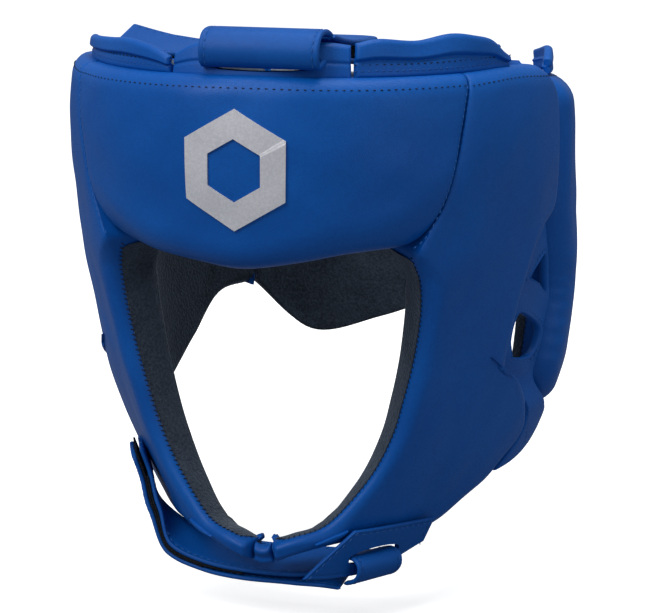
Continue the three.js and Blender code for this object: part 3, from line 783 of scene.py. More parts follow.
foreheadKinds = {"low": "brow", "high": "crown", "start": "seam", "end": "seam"}
cheekKinds = {"low": "tip", "high": "crown", "start": cheekFront, "end": cheekBack}
foreheadArea, foreheadLift = makePad("forehead", "", foreheadOutline, foreheadKinds, "shell",
                                     padNodes("forehead"),
                                     {"middleU": 110, "middleV": 46}, foreheadRelief, seed=3)
rimStitches(foreheadArea, foreheadKinds, ["low", "high"], "shell")
addRun("shell", "crownDots", *rollLine(foreheadArea, foreheadKinds, "high", 62, 0.16,
                                       np.linspace(0.01, 0.99, 80), foreheadLift))
for side in ("start", "end"):
    addRun("shell", "seam", *rollLine(foreheadArea, foreheadKinds, side, 47, 0.14,
                                      np.linspace(0.05, 0.97, 60), foreheadLift))
for suffix, sign in sides.items():
    outline, kinds = cheekOutline, cheekKinds
    if sign < 0:
        outline, kinds = mirrorOutline(outline), mirrorKinds(kinds)
    area, lift = makePad("side", suffix, outline, kinds, "shell", padNodes("side", suffix),
                         {"middleU": 40, "middleV": 210, "trayRows": 150}, cheekRelief, seed=5 + sign)
    front, back = ("start", "end") if sign > 0 else ("end", "start")
    rimStitches(area, kinds, ["start", "end", "high"], "shell", count=260,
                spans={front: (0.02, seamFrom - 0.012), back: (0.02, 0.985)})
    addRun("shell", "crownDots", *rollLine(area, kinds, "high", 62, 0.16, np.linspace(0.02, 0.98, 40), lift))
print("forehead and side pads ready")


# the left wing reaches the rear strap; the right one ends at the tongue's seam
def wingOutline(rearEdge, low):
    return {
        "low": [[91.9, -100.5], [98, -113.5]] + low + [[rearEdge - 1, low[-1][1] + 3]],
        "high": [[88.8, 29], [105, 27], [125, 23], [rearEdge, 19]],
        "start": [[91.9, -100.5], [92.9, -92], [94, -80], [95.2, -70], [94.9, -60], [92, -46],
                  [89.6, -32], [89.2, -18], [89, 0], [88.8, 29]],
        "end": [[rearEdge - 1, low[-1][1] + 3], [rearEdge, -50], [rearEdge, -15], [rearEdge, 19]],
    }


leftWing = wingOutline(157, [[103.5, -117.5], [109, -107], [115, -91], [124, -83], [149, -74]])
rightWing = wingOutline(139, [[104, -119], [118, -105], [129, -86]])


# short puckers where the wing's front edge is gathered beside the ear
def wingRelief(angle, z, share):
    edge = np.interp(z, [-100, -80, -60, -32, 0], [92, 94, 94.9, 89.6, 89])
    inward = (np.abs(angle) - edge) * degreeWidth
    pucker = np.sin(z * 2 * np.pi / 6.4 + 1.3 * np.sin(z / 9)) * np.exp(-((inward - 3) / 6)**2)
    return 0.55 * pucker * easeStep(z, -108, -96) * (1 - easeStep(z, -62, -40)) * share


wingKinds = {"low": "jaw", "high": "wing", "start": "wing", "end": "wing"}
for suffix, sign in sides.items():
    outline, kinds = leftWing, wingKinds
    if sign < 0:
        outline, kinds = mirrorOutline(rightWing), mirrorKinds({**wingKinds, "end": "seam"})
    area, _ = makePad("rear", suffix, outline, kinds, "wing" + suffix, padNodes("rear", suffix),
                      {"middleU": 70, "middleV": 120, "trayRows": 80}, wingRelief, seed=11 + (sign < 0))
    rimStitches(area, kinds, ["start", "end", "low", "high"] if sign > 0 else ["end", "low", "high"],
                "wing" + suffix)
print("rear wings ready")


# a sheet over an outline with rounded edges, between two distances from the form
def formSheet(name, outline, outFrom, outTo, material, columns=30, rows=20, wave=None, soft=1.2, grooves=()):
    area = padArea(outline)
    rim = np.array([0, 0.12, 0.4, 0.8, 1.3, 1.9, 2.5, 3.1, 3.8, 5.0])

    def spread(n, length):
        near = np.minimum(rim / length, 0.4 * np.linspace(0, 1, len(rim)))
        return np.concatenate([near, np.linspace(near[-1], 1 - near[-1], n + 2)[1:-1], 1 - near[::-1]])
    u, v = np.meshgrid(spread(columns, crossLength(area, 0.5, True)),
                       spread(rows, crossLength(area, 0.5, False)))
    eighths = np.linspace(0, 1, 9)
    lengthsU = np.interp(v[:, 0], eighths, [crossLength(area, q, True) for q in eighths])[:, None]
    lengthsV = np.interp(u[0], eighths, [crossLength(area, q, False) for q in eighths])[None]
    spot = area(u, v)
    angle, z = spot[..., 0], spot[..., 1]
    distance = np.minimum(np.minimum(u, 1 - u) * lengthsU, np.minimum(v, 1 - v) * lengthsV)
    low = outFrom(angle, z) if callable(outFrom) else np.full_like(z, outFrom)
    high = outTo(angle, z) if callable(outTo) else np.full_like(z, outTo)
    half = (high - low) / 2
    full = np.sqrt(1 - (1 - np.clip(distance / soft, 0, 1))**2) * half
    push = wave(angle, z, u, v) if wave else 0.0
    dent = sum((depth * np.exp(-((distance - place) / 0.7)**2) for place, depth in grooves), np.zeros_like(z))
    outer = formPoint(angle, z, low + half + push + full - dent)
    inner = formPoint(angle, z, low + half + push - full + dent * 0.6)
    return shellBetween(name, outer, inner, material, 60), area


# a line inside a sheet's edge, on its outer face
def sheetLine(area, side, inset, out, shares):
    alongU = side in ("start", "end")
    near = 0.0 if side in ("start", "low") else 1.0
    sign = 1 if near == 0 else -1
    spots = []
    for share in shares:
        place = near + sign * inset / crossLength(area, share, alongU)
        spots.append(area(place, share) if alongU else area(share, place))
    spots = np.array(spots)
    angle, z = spots[:, 0], spots[:, 1]
    return formPoint(angle, z, out(angle, z) if callable(out) else out), formNormal(angle, z)


def sheetStitches(area, body, look, out, inset=2.4, sides=("low", "high", "start", "end"), count=60,
                  ends=(0.02, 0.98)):
    for side in sides:
        addRun(body, look, *sheetLine(area, side, inset, out, np.linspace(*ends, count)))


# rear tongue

tongueShape = {"foamFrom": 1.8, "foamTo": 7.6, "coverFrom": 2.2, "coverTo": 9.6}
tongueOutline = mirrorOutline({
    "low": [[140, -82], [158, -105], [180, -99], [199, -88]],
    "high": [[140, 17], [160, 15], [180, 14], [199, 12]],
    "start": [[140, -82], [140, -30], [140, 17]],
    "end": [[199, -88], [200, -40], [199, 12]],
})


def fromHead(offset):
    return lambda angle, z: offset - formColumn("thickness", z)


def makeTongue(s):
    swell = lambda angle, z, u, v: unevenness(angle, z, 21, 0.3) * np.minimum(1, 8 * np.minimum(u, 1 - u))
    cover, _ = formSheet("tongue_leather", tongueOutline, fromHead(s["coverFrom"]),
                            fromHead(s["coverTo"]), blueLeather, 60, 60, swell, 6.0)
    ridePiece(cover, "tongue", "leather_blue", "tongue_cover", fill=0.8)
    core, _ = formSheet("tongue_core", tongueOutline, fromHead(s["foamFrom"] + 1), fromHead(s["foamTo"]),
                        greyFoam, 12, 12, soft=5.0)
    ridePiece(core, "tongue", "foam_grey", "tongue_foam")
    suede, area = formSheet("tongue_suede", tongueOutline, fromHead(-0.3), fromHead(2.0), navySuede, 30,
                            40, None, 1.2)
    ridePiece(suede, "tongue", "suede_navy", "tongue_lining")
    sheetStitches(area, "tongue", "lining", fromHead(2.1), 0.8, ("low", "high", "end"), 90)


makeTongue(tongueShape)
print("tongue ready")


# ear panels with their two holes

earPanel = {"sheet": 2.8, "piping": 0.8, "bindingWidth": 1.9}
earPanelOutline = {
    "low": [[84.5, -141.5], [90.5, -139.5], [97, -135], [101.5, -128.5]],
    "high": [[88, -19], [88.3, -18.5], [88.6, -19]],
    "start": [[84.5, -141.5], [88.6, -129], [87.6, -117], [84.2, -107], [80.2, -99.5], [75.9, -94.8],
              [75, -86], [75, -77.5],
              [75.5, -65], [76.7, -55], [79.6, -40], [83.4, -31.6], [87, -25], [88, -19]],
    "end": [[101.5, -128.5], [102.8, -121.5], [97.3, -114.7], [91.3, -102], [92.2, -92], [93.2, -80],
            [94.4, -70], [94.1, -60], [91.2, -46], [88.9, -32], [88.6, -19]],
}
upperEarHole = [[82.1, -55.3], [84.9, -50.2], [89.1, -46.5], [90.4, -49], [91.2, -56], [92, -65],
                [90, -63.5], [87, -59.6]]
lowerEarHole = [[77.6, -81.8], [78, -72.5], [79.6, -69], [84, -71.8], [91, -80.6], [90.2, -87.7],
                [87.6, -91.3], [81.4, -90.4], [79.2, -88.4]]


def earDepth(angle, z):
    return -10.5 + 6.5 * easeStep(-z, 98, 116)


def holeOutline(points, sign):
    closed = points[-2:] + points + points[:2]
    path = smoothPath([[a * degreeWidth, z] for a, z in closed], 10)[20:-20]
    return path[:, 0] / degreeWidth * sign, path[:, 1]


# replaces a piece's mesh by its evaluated one, with no modifier left
def applyModifiers(piece):
    result = bpy.data.meshes.new_from_object(piece.evaluated_get(bpy.context.evaluated_depsgraph_get()))
    piece.modifiers.clear()
    old, name = piece.data, piece.data.name
    piece.data = result
    bpy.data.meshes.remove(old)
    result.name = name


def cutThrough(piece, angle, z, low, high):
    cutter = loftLoops("cutter", np.stack([formPoint(angle, z, out) for out in (low, high)]), blueLeather)
    difference = piece.modifiers.new("hole", "BOOLEAN")
    difference.object, difference.operation, difference.solver = cutter, "DIFFERENCE", "EXACT"
    applyModifiers(piece)
    bpy.data.objects.remove(cutter)


# a folded binding round a hole, as a closed tube
def makeBinding(angle, z, out, width, thick):
    middle = formPoint(angle, z, out)
    ahead = np.roll(middle, -1, axis=0) - np.roll(middle, 1, axis=0)
    ahead /= np.linalg.norm(ahead, axis=-1, keepdims=True)
    up = formNormal(angle, z)
    side = np.cross(ahead, up)
    turns = np.linspace(0, 2 * np.pi, 10, endpoint=False)
    loops = [[m + u * math.cos(t) * width + w * math.sin(t) * thick for t in turns]
             for m, u, w in zip(middle, up, side)]
    return loftLoops("binding", loops, blueLeather, 80, closed=True)


def joinPieces(parts):
    with bpy.context.temp_override(active_object=parts[0], selected_editable_objects=parts, object=parts[0]):
        bpy.ops.object.join()
    return parts[0]


def makeEarPanel(s, suffix, sign):
    outline = earPanelOutline if sign > 0 else mirrorOutline(earPanelOutline)

    def crease(angle, z, u, v):
        return 0.35 * np.sin((z + np.abs(angle) * 1.4) / 3.1) * np.exp(-((v - 0.55) / 0.25)**2)

    outerDepth = lambda angle, z: earDepth(angle, z) + s["sheet"]
    panel, _ = formSheet("ear_flap" + suffix, outline, earDepth, outerDepth, blueLeather, 30, 110,
                         crease, 1.2)
    pipes = []
    for points in (upperEarHole, lowerEarHole):
        angle, z = holeOutline(points, sign)
        cutThrough(panel, angle, z, -19, -2)
        pipes.append(makeBinding(angle, z, earDepth(angle, z) + s["sheet"] / 2, s["bindingWidth"],
                                 s["piping"]))
        swell = np.stack([angle, z], -1)
        centre = swell.mean(0)
        ring = centre + (swell - centre) * 1.17
        angle, z = ring[:, 0], ring[:, 1]
        addRun("shell", "seam", formPoint(angle, z, outerDepth(angle, z) + 0.1), formNormal(angle, z))
    panel.data.set_sharp_from_angle(angle=math.radians(50))
    line = smoothPath([[81.6, -97.5], [85.2, -109.5], [90.6, -124], [93.5, -131.5]], 12)
    angle, z = line[:, 0] * sign, line[:, 1]
    addRun("shell", "seam", formPoint(angle, z, outerDepth(angle, z) + 0.1), formNormal(angle, z))
    return ridePiece(joinPieces([panel] + pipes), "shell", "leather_blue", "ear_panel" + suffix)


for suffix, sign in sides.items():
    makeEarPanel(earPanel, suffix, sign)
print("ear panels ready")


# plain six-sided ring badge

badge = {"radius": 24, "hole": 0.52, "height": 3, "degree": 1.88, "thickness": 0.6}


def makeBadge(s):
    corners = [np.array([math.cos(t), math.sin(t)]) for t in np.radians(30 + 60 * np.arange(7))]
    steps = np.linspace(0, 1, 16, endpoint=False)[:, None]
    line = np.concatenate([c0 + (c1 - c0) * steps for c0, c1 in zip(corners, corners[1:])])
    line = np.vstack([line, line[:1]])
    across = np.linspace(s["hole"], 1, 14)[:, None, None] * line[None] * s["radius"]
    angle, z = across[..., 0] / s["degree"], across[..., 1] + s["height"]
    ground = unevenness(angle, z, 3, 0.5) + foreheadRelief(angle, z, 1.0) + 0.3
    return shellBetween("forehead_badge", formPoint(angle, z, ground + s["thickness"]),
                        formPoint(angle, z, ground - 0.25), whiteFilm, 40)


ridePiece(makeBadge(badge), "shell", "emblem_white", "forehead_emblem")
print("badge ready")


# straps: flat bands with rounded, stitched edges

def unit(v):
    return v / np.maximum(np.linalg.norm(v, axis=-1, keepdims=True), 1e-9)


# places along a band by length, gathered at its two ends
def bandRows(at, across, step, rim):
    path = np.hstack([at, across])
    length = np.linalg.norm(np.diff(at, axis=0), axis=1).sum()
    steps = np.concatenate([[0], np.cumsum(np.linalg.norm(np.diff(at, axis=0), axis=1))])
    places = np.concatenate([rim, np.linspace(rim[-1], length - rim[-1],
                                              max(int(length / step), 4))[1:-1], length - rim[::-1]])
    rows = np.stack([np.interp(places, steps, path[:, k]) for k in range(6)], -1)
    return rows[:, :3], rows[:, 3:], places, length


def bandFrame(at, across):
    ahead = unit(np.gradient(at, axis=0))
    return unit(np.cross(ahead, across))


def makeBand(name, stops, thickness, material, s=None):
    s = {"step": 1.6, "edge": 1.1, "roundStart": 0, "roundEnd": 0, "groove": 0.28, "grooveAt": 2.4,
         "out": 0.0, **(s or {})}
    at, across = [smoothPath([stop[k] for stop in stops], 24) for k in (0, 1)]
    rim = np.array([0, 0.1, 0.35, 0.8, 1.4, 2.2, 3.2])
    at, across, places, length = bandRows(at, across, s["step"], rim)
    up = bandFrame(at, across)
    at = at + up * s["out"]
    half = np.linalg.norm(across, axis=-1)
    sideRim = np.array([0, 0.12, 0.4, 0.8, 1.4, 1.9, 2.4, 2.9, 3.5, 5])
    loops = []
    for i, place in enumerate(places):
        narrow = 1.0
        for radius, distance in ((s["roundStart"], place), (s["roundEnd"], length - place)):
            if radius and distance < radius:
                narrow = min(narrow, 0.35 + 0.65 * math.sqrt(max(1 - (1 - distance / radius)**2, 0)))
        tip = math.sqrt(1 - (1 - np.clip(min(place, length - place) / s["edge"], 0, 1))**2)
        wide = half[i] * narrow
        inset = np.linspace(0, wide, 14)
        if wide > 6:
            inset = np.concatenate([sideRim, np.linspace(sideRim[-1], wide, 5)[1:]])
        level = np.sqrt(1 - (1 - np.clip(inset / s["edge"], 0, 1))**2) * thickness / 2 * tip
        groove = s["groove"] * np.exp(-((inset - s["grooveAt"]) / 0.6)**2)
        level = level - groove * (tip > 0.9) * (level > s["groove"] * 1.5)
        x = np.concatenate([-(wide - inset), (wide - inset)[-2::-1]])
        h = np.concatenate([level, level[-2::-1]])
        h[0] = h[-1] = 0
        direction = across[i] / half[i]
        top = at[i] + direction * x[:, None] + up[i] * h[:, None]
        bottom = at[i] + direction * x[-2:0:-1, None] - up[i] * h[-2:0:-1, None]
        loops.append(np.vstack([top, bottom]))
    return loftLoops(name, loops, material, 70)


# stitches along both edges of a band, on one face (+1 or -1) or round its ends as well
def bandStitches(stops, thickness, body, look, faces=(1,), inset=2.4, ends=(0.03, 0.97),
                 crossings=(), out=0.0):
    at, across = [smoothPath([stop[k] for stop in stops], 24) for k in (0, 1)]
    up = bandFrame(at, across)
    half = np.linalg.norm(across, axis=-1, keepdims=True)
    keep = slice(int(ends[0] * len(at)), max(int(ends[1] * len(at)), 2))
    for face in faces:
        for side in (-1, 1):
            line = at + across / half * (half - inset) * side + up * (face * (thickness / 2 - 0.12) + out)
            addRun(body, look, line[keep], (up * face)[keep])
        for place in crossings:
            k = int(place * (len(at) - 1))
            t = np.linspace(-1, 1, 30)[:, None]
            line = at[k] + across[k] / half[k] * (half[k] - inset) * t
            line = line + up[k] * (face * (thickness / 2 - 0.1) + out)
            addRun(body, look, line, np.repeat((up[k] * face)[None], 30, axis=0))


def stop(x, y, z, across):
    return (np.array([x, y, z], float), np.array(across, float))


# crown yokes

crownShape = {"yokeOut": (-11.4, -7.6), "strap": 2.4, "strapHalf": 24.5, "strapX": 7.5, "pile": 1.2,
              "bandZ": 36}
yokeOutlines = {
    "_left": {"low": [[26.5, 37.2], [42, 36.6], [56, 36.2], [70, 35.6]],
              "high": [[26.5, 51], [31.5, 52.4], [42.3, 50.8], [51.5, 52.6], [58, 51], [63.8, 48.4],
                       [67.5, 43.5], [70, 41]]},
    "_right": {"low": [[19.8, 37.4], [35, 36.9], [50, 36.3], [66, 35.8]],
               "high": [[19.8, 44.5], [24, 47], [29.6, 48.7], [36.6, 49.4], [45, 48.2], [55, 47],
                        [63, 46], [66, 45.4]]},
}
rearYokeOutline = {"low": [[96, 27.4], [110, 25.8], [124, 22.6]],
                   "high": [[96, 34], [103, 37], [111, 36.5], [124, 32]]}


def withEnds(o):
    return {**o, "start": [o["low"][0], o["high"][0]], "end": [o["low"][-1], o["high"][-1]]}


# a folded leather strip: a fat rolled top above a stitched lower layer
def yokeFold(lean, bulge, ripple):
    def wave(angle, z, u, v):
        fold = bulge * easeStep(v, 0.44, 0.6) - 0.45 * np.exp(-((v - 0.47) / 0.05)**2)
        return lean * v + fold + ripple * np.sin(np.abs(angle) / 4.4 + 1.2) * easeStep(v, 0.2, 0.9)
    return wave


def makeYokes(s):
    for suffix, sign in sides.items():
        turn = (lambda o: o) if sign > 0 else mirrorOutline
        wave = yokeFold(1.2, 1.4, 1.1 if sign > 0 else 0.4)
        yoke, _ = formSheet("yoke_strip" + suffix, turn(withEnds(yokeOutlines[suffix])), *s["yokeOut"],
                               blueLeather, 90, 30, wave, 1.9)
        ridePiece(yoke, "shell", "leather_blue", "crown_yoke" + suffix)
        foot = smoothPath(turn(withEnds(yokeOutlines[suffix]))["low"], 20) + [0, 3.2]
        addRun("shell", "seam", formPoint(foot[:, 0], foot[:, 1], s["yokeOut"][1] + 0.35),
               formNormal(foot[:, 0], foot[:, 1]))
        fold = smoothPath(turn(withEnds(yokeOutlines[suffix]))["low"], 20) + [0, 5.6]
        addRun("shell", "crownDots", formPoint(fold[:, 0], fold[:, 1], s["yokeOut"][1] + 0.45),
               formNormal(fold[:, 0], fold[:, 1]))
        rear, _ = formSheet("rear_yoke_strip" + suffix, turn(withEnds(rearYokeOutline)), *s["yokeOut"],
                               blueLeather, 40, 14, yokeFold(0.6, 0.5, 0.2), 1.7)
        ridePiece(rear, "wing" + suffix, "leather_blue", "rear_yoke" + suffix)
    bar = {"low": [[-19.2, 37], [3, 37.4], [25.9, 36.9]],
           "high": [[-19.2, 46], [-14, 50], [-6, 51.5], [16, 51.5], [22, 51], [25.9, 50]]}
    front, _ = formSheet("front_yoke_strip", withEnds(bar), *s["yokeOut"], blueLeather, 60, 24,
                            yokeFold(0.3, 0.2, 0.0), 1.7)
    slot = np.array([[-8.6, 41.4], [17, 41.4], [18.4, 42.6], [18.4, 45.2], [17, 46.4], [-8.6, 46.4],
                     [-9.8, 45.2], [-9.8, 42.6]])
    line = smoothPath(np.vstack([slot[-2:], slot, slot[:2]]) * [degreeWidth, 1], 6)[12:-12] / [degreeWidth, 1]
    cutThrough(front, line[:, 0], line[:, 1], -16, -3)
    front.data.set_sharp_from_angle(angle=math.radians(50))
    ridePiece(front, "shell", "leather_blue", "crown_yoke_front")


makeYokes(crownShape)


# crown strap over the front bar, its fold-back tail, and the band it is sewn to

def makeCrownStraps(s):
    barY = float(formPoint(0, 46.5, s["yokeOut"][0] + 0.4)[1])
    half, x, bandZ = s["strapHalf"], s["strapX"], s["bandZ"]
    lane = lambda points: [stop(x, y, z, (half, 0, 0)) for y, z in points]
    strap = lane([[-6, bandZ + 3.4], [-30, bandZ + 3.1], [-60, 39], [-82, 42], [barY + 4, 44],
                  [barY - 6.5, 43.2],
                  [barY - 8.5, 48.4], [barY - 4.8, 54.4], [barY + 5, 55.5], [barY + 12, 53.6]])
    ridePiece(makeBand("crown_belt", strap, s["strap"], strapLeather), "shell", "leather_blue", "crown_strap")
    bandStitches(strap, s["strap"], "shell", "strap", (-1, 1), 2.6, (0.02, 0.99), (0.04, 0.1))
    loop = lane([[-36, bandZ + 4.8], [-60, 41.3], [-78, 43.8]])
    ridePiece(makeBand("crown_loop_pile", [(a, c * 0.93) for a, c in loop], s["pile"], blackPile,
                       {"groove": 0}), "shell", "pile_black", "crown_strap_loop")
    tail = lane([[barY + 14.7, 52.6], [-80, 49.3], [-60, 46.7], [-42, 45.3], [-24, 44.6]])
    ridePiece(makeBand("crown_flap", tail, s["strap"], strapLeather, {"roundEnd": 9}), "crown_closure",
              "leather_blue", "crown_tail")
    bandStitches(tail, s["strap"], "crown_closure", "strap", (-1, 1), 2.6, (0.02, 0.88), (0.9,))
    hook = lane([[-74, 46.5], [-60, 44.4], [-44, 43.2]])
    ridePiece(makeBand("crown_hook_pile", [(a, c * 0.93) for a, c in hook], s["pile"] * 0.7, blackPile,
                       {"groove": 0, "edge": 0.4}),
              "crown_closure", "pile_black", "crown_tail_hook")
    reach = formPoint(72, 42, -17.5)
    shares = np.array([-1, -0.85, -0.7, -0.35, 0, 0.35, 0.7, 0.85, 1])
    tilt = np.array([0.22, 0.14, 0.06, 0, 0, 0, 0, 0, 0])
    band = [stop(t * reach[0], -8 * (1 - t * t) + reach[1] * t * t, bandZ + 6 * t**4 + 2.5 * k,
                 (0, 17 * math.cos(k), 17 * math.sin(k)))
            for t, k in zip(shares, tilt)]
    ridePiece(makeBand("crown_bridge", band, s["strap"], strapLeather), "shell", "leather_blue", "crown_band")
    bandStitches(band, s["strap"], "shell", "strap", (-1, 1), 2.6)
    # painted shade in the gap under the bridge band: thin black sheets in the pile material, one on each side
    # of the band's middle
    under = [(a, c * 0.94) for a, c in band]
    for name, part in (("bridge_painted_shade_right", under[:4]), ("bridge_painted_shade_left", under[5:])):
        ridePiece(makeBand(name, part, 0.8, blackPile, {"groove": 0, "edge": 0.4, "out": -1.55}), "shell",
                  "pile_black")


makeCrownStraps(crownShape)
print("crown ready")


# rear strap, its anchor, and the hook and loop tapes

rearShape = {"low": -66, "high": -24, "pile": 1.2}


def bandOutline(angleFrom, angleTo, low, high):
    middle = (angleFrom + angleTo) / 2
    return {"low": [[angleFrom, low], [middle, low], [angleTo, low]],
            "high": [[angleFrom, high], [middle, high], [angleTo, high]],
            "start": [[angleFrom, low], [angleFrom, high]], "end": [[angleTo, low], [angleTo, high]]}


def makeRearStrap(s):
    low, high = s["low"], s["high"]
    anchor, area = formSheet("rear_anchor", bandOutline(122, 145, low - 2, high + 2), 0.5, 3.4,
                             strapLeather, 24, 24, None, 1.3, ((2.4, 0.3),))
    ridePiece(anchor, "wing_left", "leather_blue", "rear_strap_anchor")
    sheetStitches(area, "wing_left", "strap", 3.35)
    sag = lambda angle, z, u, v: 0.5 * np.sin(u * 9) * np.sin(np.pi * v)
    strap, area = formSheet("rear_belt", bandOutline(137, 250, low, high), 3.9, 6.3, strapLeather, 120,
                            24, sag, 1.2, ((2.6, 0.3),))
    ridePiece(strap, "rear_closure", "webbing_blue", "rear_strap")
    sheetStitches(area, "rear_closure", "strap", 6.25, 2.6, ("low", "high"), 150, (0.005, 0.995))
    sheetStitches(area, "rear_closure", "strap", 6.25, 2.6, ("start", "end"), 30, (0.08, 0.92))
    hook, _ = formSheet("rear_hook_pile", bandOutline(226, 249, low + 2, high - 2), 2.2, 3.4,
                           blackPile, 30, 24, None, 0.5)
    ridePiece(hook, "rear_closure", "pile_black", "rear_strap_hook")
    patch, area = formSheet("rear_loop_pile", bandOutline(225, 256, low - 3, high + 3), 0.5, 1.7,
                            blackPile, 40, 30, None, 0.5)
    ridePiece(patch, "wing_right", "pile_black", "rear_loop_patch")
    sheetStitches(area, "wing_right", "strap", 1.7, 1.6)


makeRearStrap(rearShape)
print("rear strap ready")


# chin: tie, keeper with its slot, strap and tail

chinShape = {"strap": 1.9, "half": 12.5, "pile": 0.9, "slot": (33.5, 53, -166.3, -161)}


def makeChin(s):
    tie, _ = formSheet("chin_thong", {"low": [[-5.3, -165], [0, -166], [5.3, -165]],
                                         "high": [[-4, -157], [0, -158], [4, -157]],
                                         "start": [[-5.3, -165], [-4, -157]],
                                         "end": [[5.3, -165], [4, -157]]},
                          -9, -3.6, blueLeather, 16, 16, lambda a, z, u, v: 0.5 * np.cos(v * 9.4), 2.6)
    ridePiece(tie, "shell", "leather_blue", "chin_tie")
    keeperOutline = {"low": [[17, -171], [30, -172], [48, -171.5], [63, -165]],
                     "high": [[34, -151], [48, -152], [64, -154]],
                     "start": [[17, -171], [34, -151]], "end": [[63, -165], [64, -154]]}
    keeper, area = formSheet("chin_tab", keeperOutline, 1.0, 3.4, strapLeather, 50, 30, None, 1.2,
                             ((2.4, 0.3),))
    a0, a1, z0, z1 = s["slot"]
    slot = np.array([[a0, z0 + 1], [a0 + 2, z0], [a1 - 2, z0], [a1, z0 + 1], [a1, z1 - 2.2], [a1 - 5, z1],
                     [a0 + 5, z1], [a0, z1 - 2.2]])
    line = smoothPath(np.vstack([slot[-2:], slot, slot[:2]]) * [degreeWidth, 1], 6)[12:-12] / [degreeWidth, 1]
    cutThrough(keeper, line[:, 0], line[:, 1], -2, 8)
    keeper.data.set_sharp_from_angle(angle=math.radians(50))
    ridePiece(keeper, "shell", "leather_blue", "chin_keeper")
    sheetStitches(area, "shell", "strap", 3.45, 2.4, ("start", "high", "end"), 40, (0.06, 0.94))

    def onForm(angle, z, out):
        across = np.cross(formNormal(angle, z), [0, 0, 1]) * -s["half"]
        return (formPoint(angle, z, out), across * np.sign(across[1]))

    def slung(x, y, z, tilt):
        t = math.radians(tilt)
        return stop(x, y, z, (0, s["half"] * math.cos(t), s["half"] * math.sin(t)))

    def layer(stops, distance):
        at = smoothPath([q[0] for q in stops], 24)
        ahead = unit(np.gradient(at, axis=0))[::24]
        return [(p - unit(np.cross(t, a)) * distance, a) for (p, a), t in zip(stops, ahead)]
    middle = (a0 + a1) / 2
    sling = [onForm(-61.5, -129, 1.5), onForm(-60.8, -140, 2.6), onForm(-57.5, -152.5, 5.6),
             slung(-47, -61, -165, 8),
             slung(-31, -66, -169, 12), slung(-12, -71, -169.5, 14), slung(9, -72, -169.5, 14)]
    through = [onForm(middle, z, out) for z, out in ((-167.5, -8), (-165.2, -3.4), (-163.8, 2),
                                                     (-165.6, 6.4), (-169.5, 8.1),
                                                     (-173.3, 6.2), (-175.4, 1.5))]
    strap = sling + [slung(23, -69, -169, 8)] + through
    ridePiece(makeBand("chin_belt", strap, s["strap"], strapLeather), "shell", "webbing_blue", "chin_strap")
    bandStitches(strap, s["strap"], "shell", "strap", (1, -1), 2.2, (0.01, 0.99), (0.02, 0.12))
    loop = layer(sling, 1.45)[1:6]
    ridePiece(makeBand("chin_loop_pile", loop, s["pile"], blackPile, {"groove": 0, "edge": 0.5}), "shell",
              "pile_black", "chin_loop_patch")
    hook = layer(sling, 2.45)[:5]
    ridePiece(makeBand("chin_hook_pile", hook, s["pile"], blackPile, {"groove": 0, "edge": 0.5}),
              "chin_closure", "pile_black", "chin_tail_hook")
    tail = layer(sling, 4.0) + [slung(22, -70.9, -174.2, 10), slung(30, -70.3, -175.6, 6)]
    ridePiece(makeBand("chin_flap", tail, s["strap"], strapLeather, {"roundStart": 4}), "chin_closure",
              "webbing_blue", "chin_tail")
    bandStitches(tail, s["strap"], "chin_closure", "strap", (1, -1), 2.2, (0.03, 0.99), (0.04,))


makeChin(chinShape)
print("chin ready")


# stitches along the gathered lines

stitchLooks = {
    "lining": {"pitch": 2.2, "length": 1.9, "thick": 0.55, "slant": 62, "thread": "dark",
               "slot": "suede_navy"},
    "seam": {"pitch": 2.9, "length": 1.6, "thick": 0.42, "slant": 8, "thread": "blue",
             "slot": "leather_blue"},
    "crownDots": {"pitch": 3.0, "length": 1.3, "thick": 0.5, "slant": 0, "thread": "dark",
                  "slot": "leather_blue"},
    "strap": {"pitch": 3.4, "length": 2.1, "thick": 0.45, "slant": 4, "thread": "blue",
              "slot": "leather_blue"},
}
threads = {"dark": darkThread, "blue": blueThread}


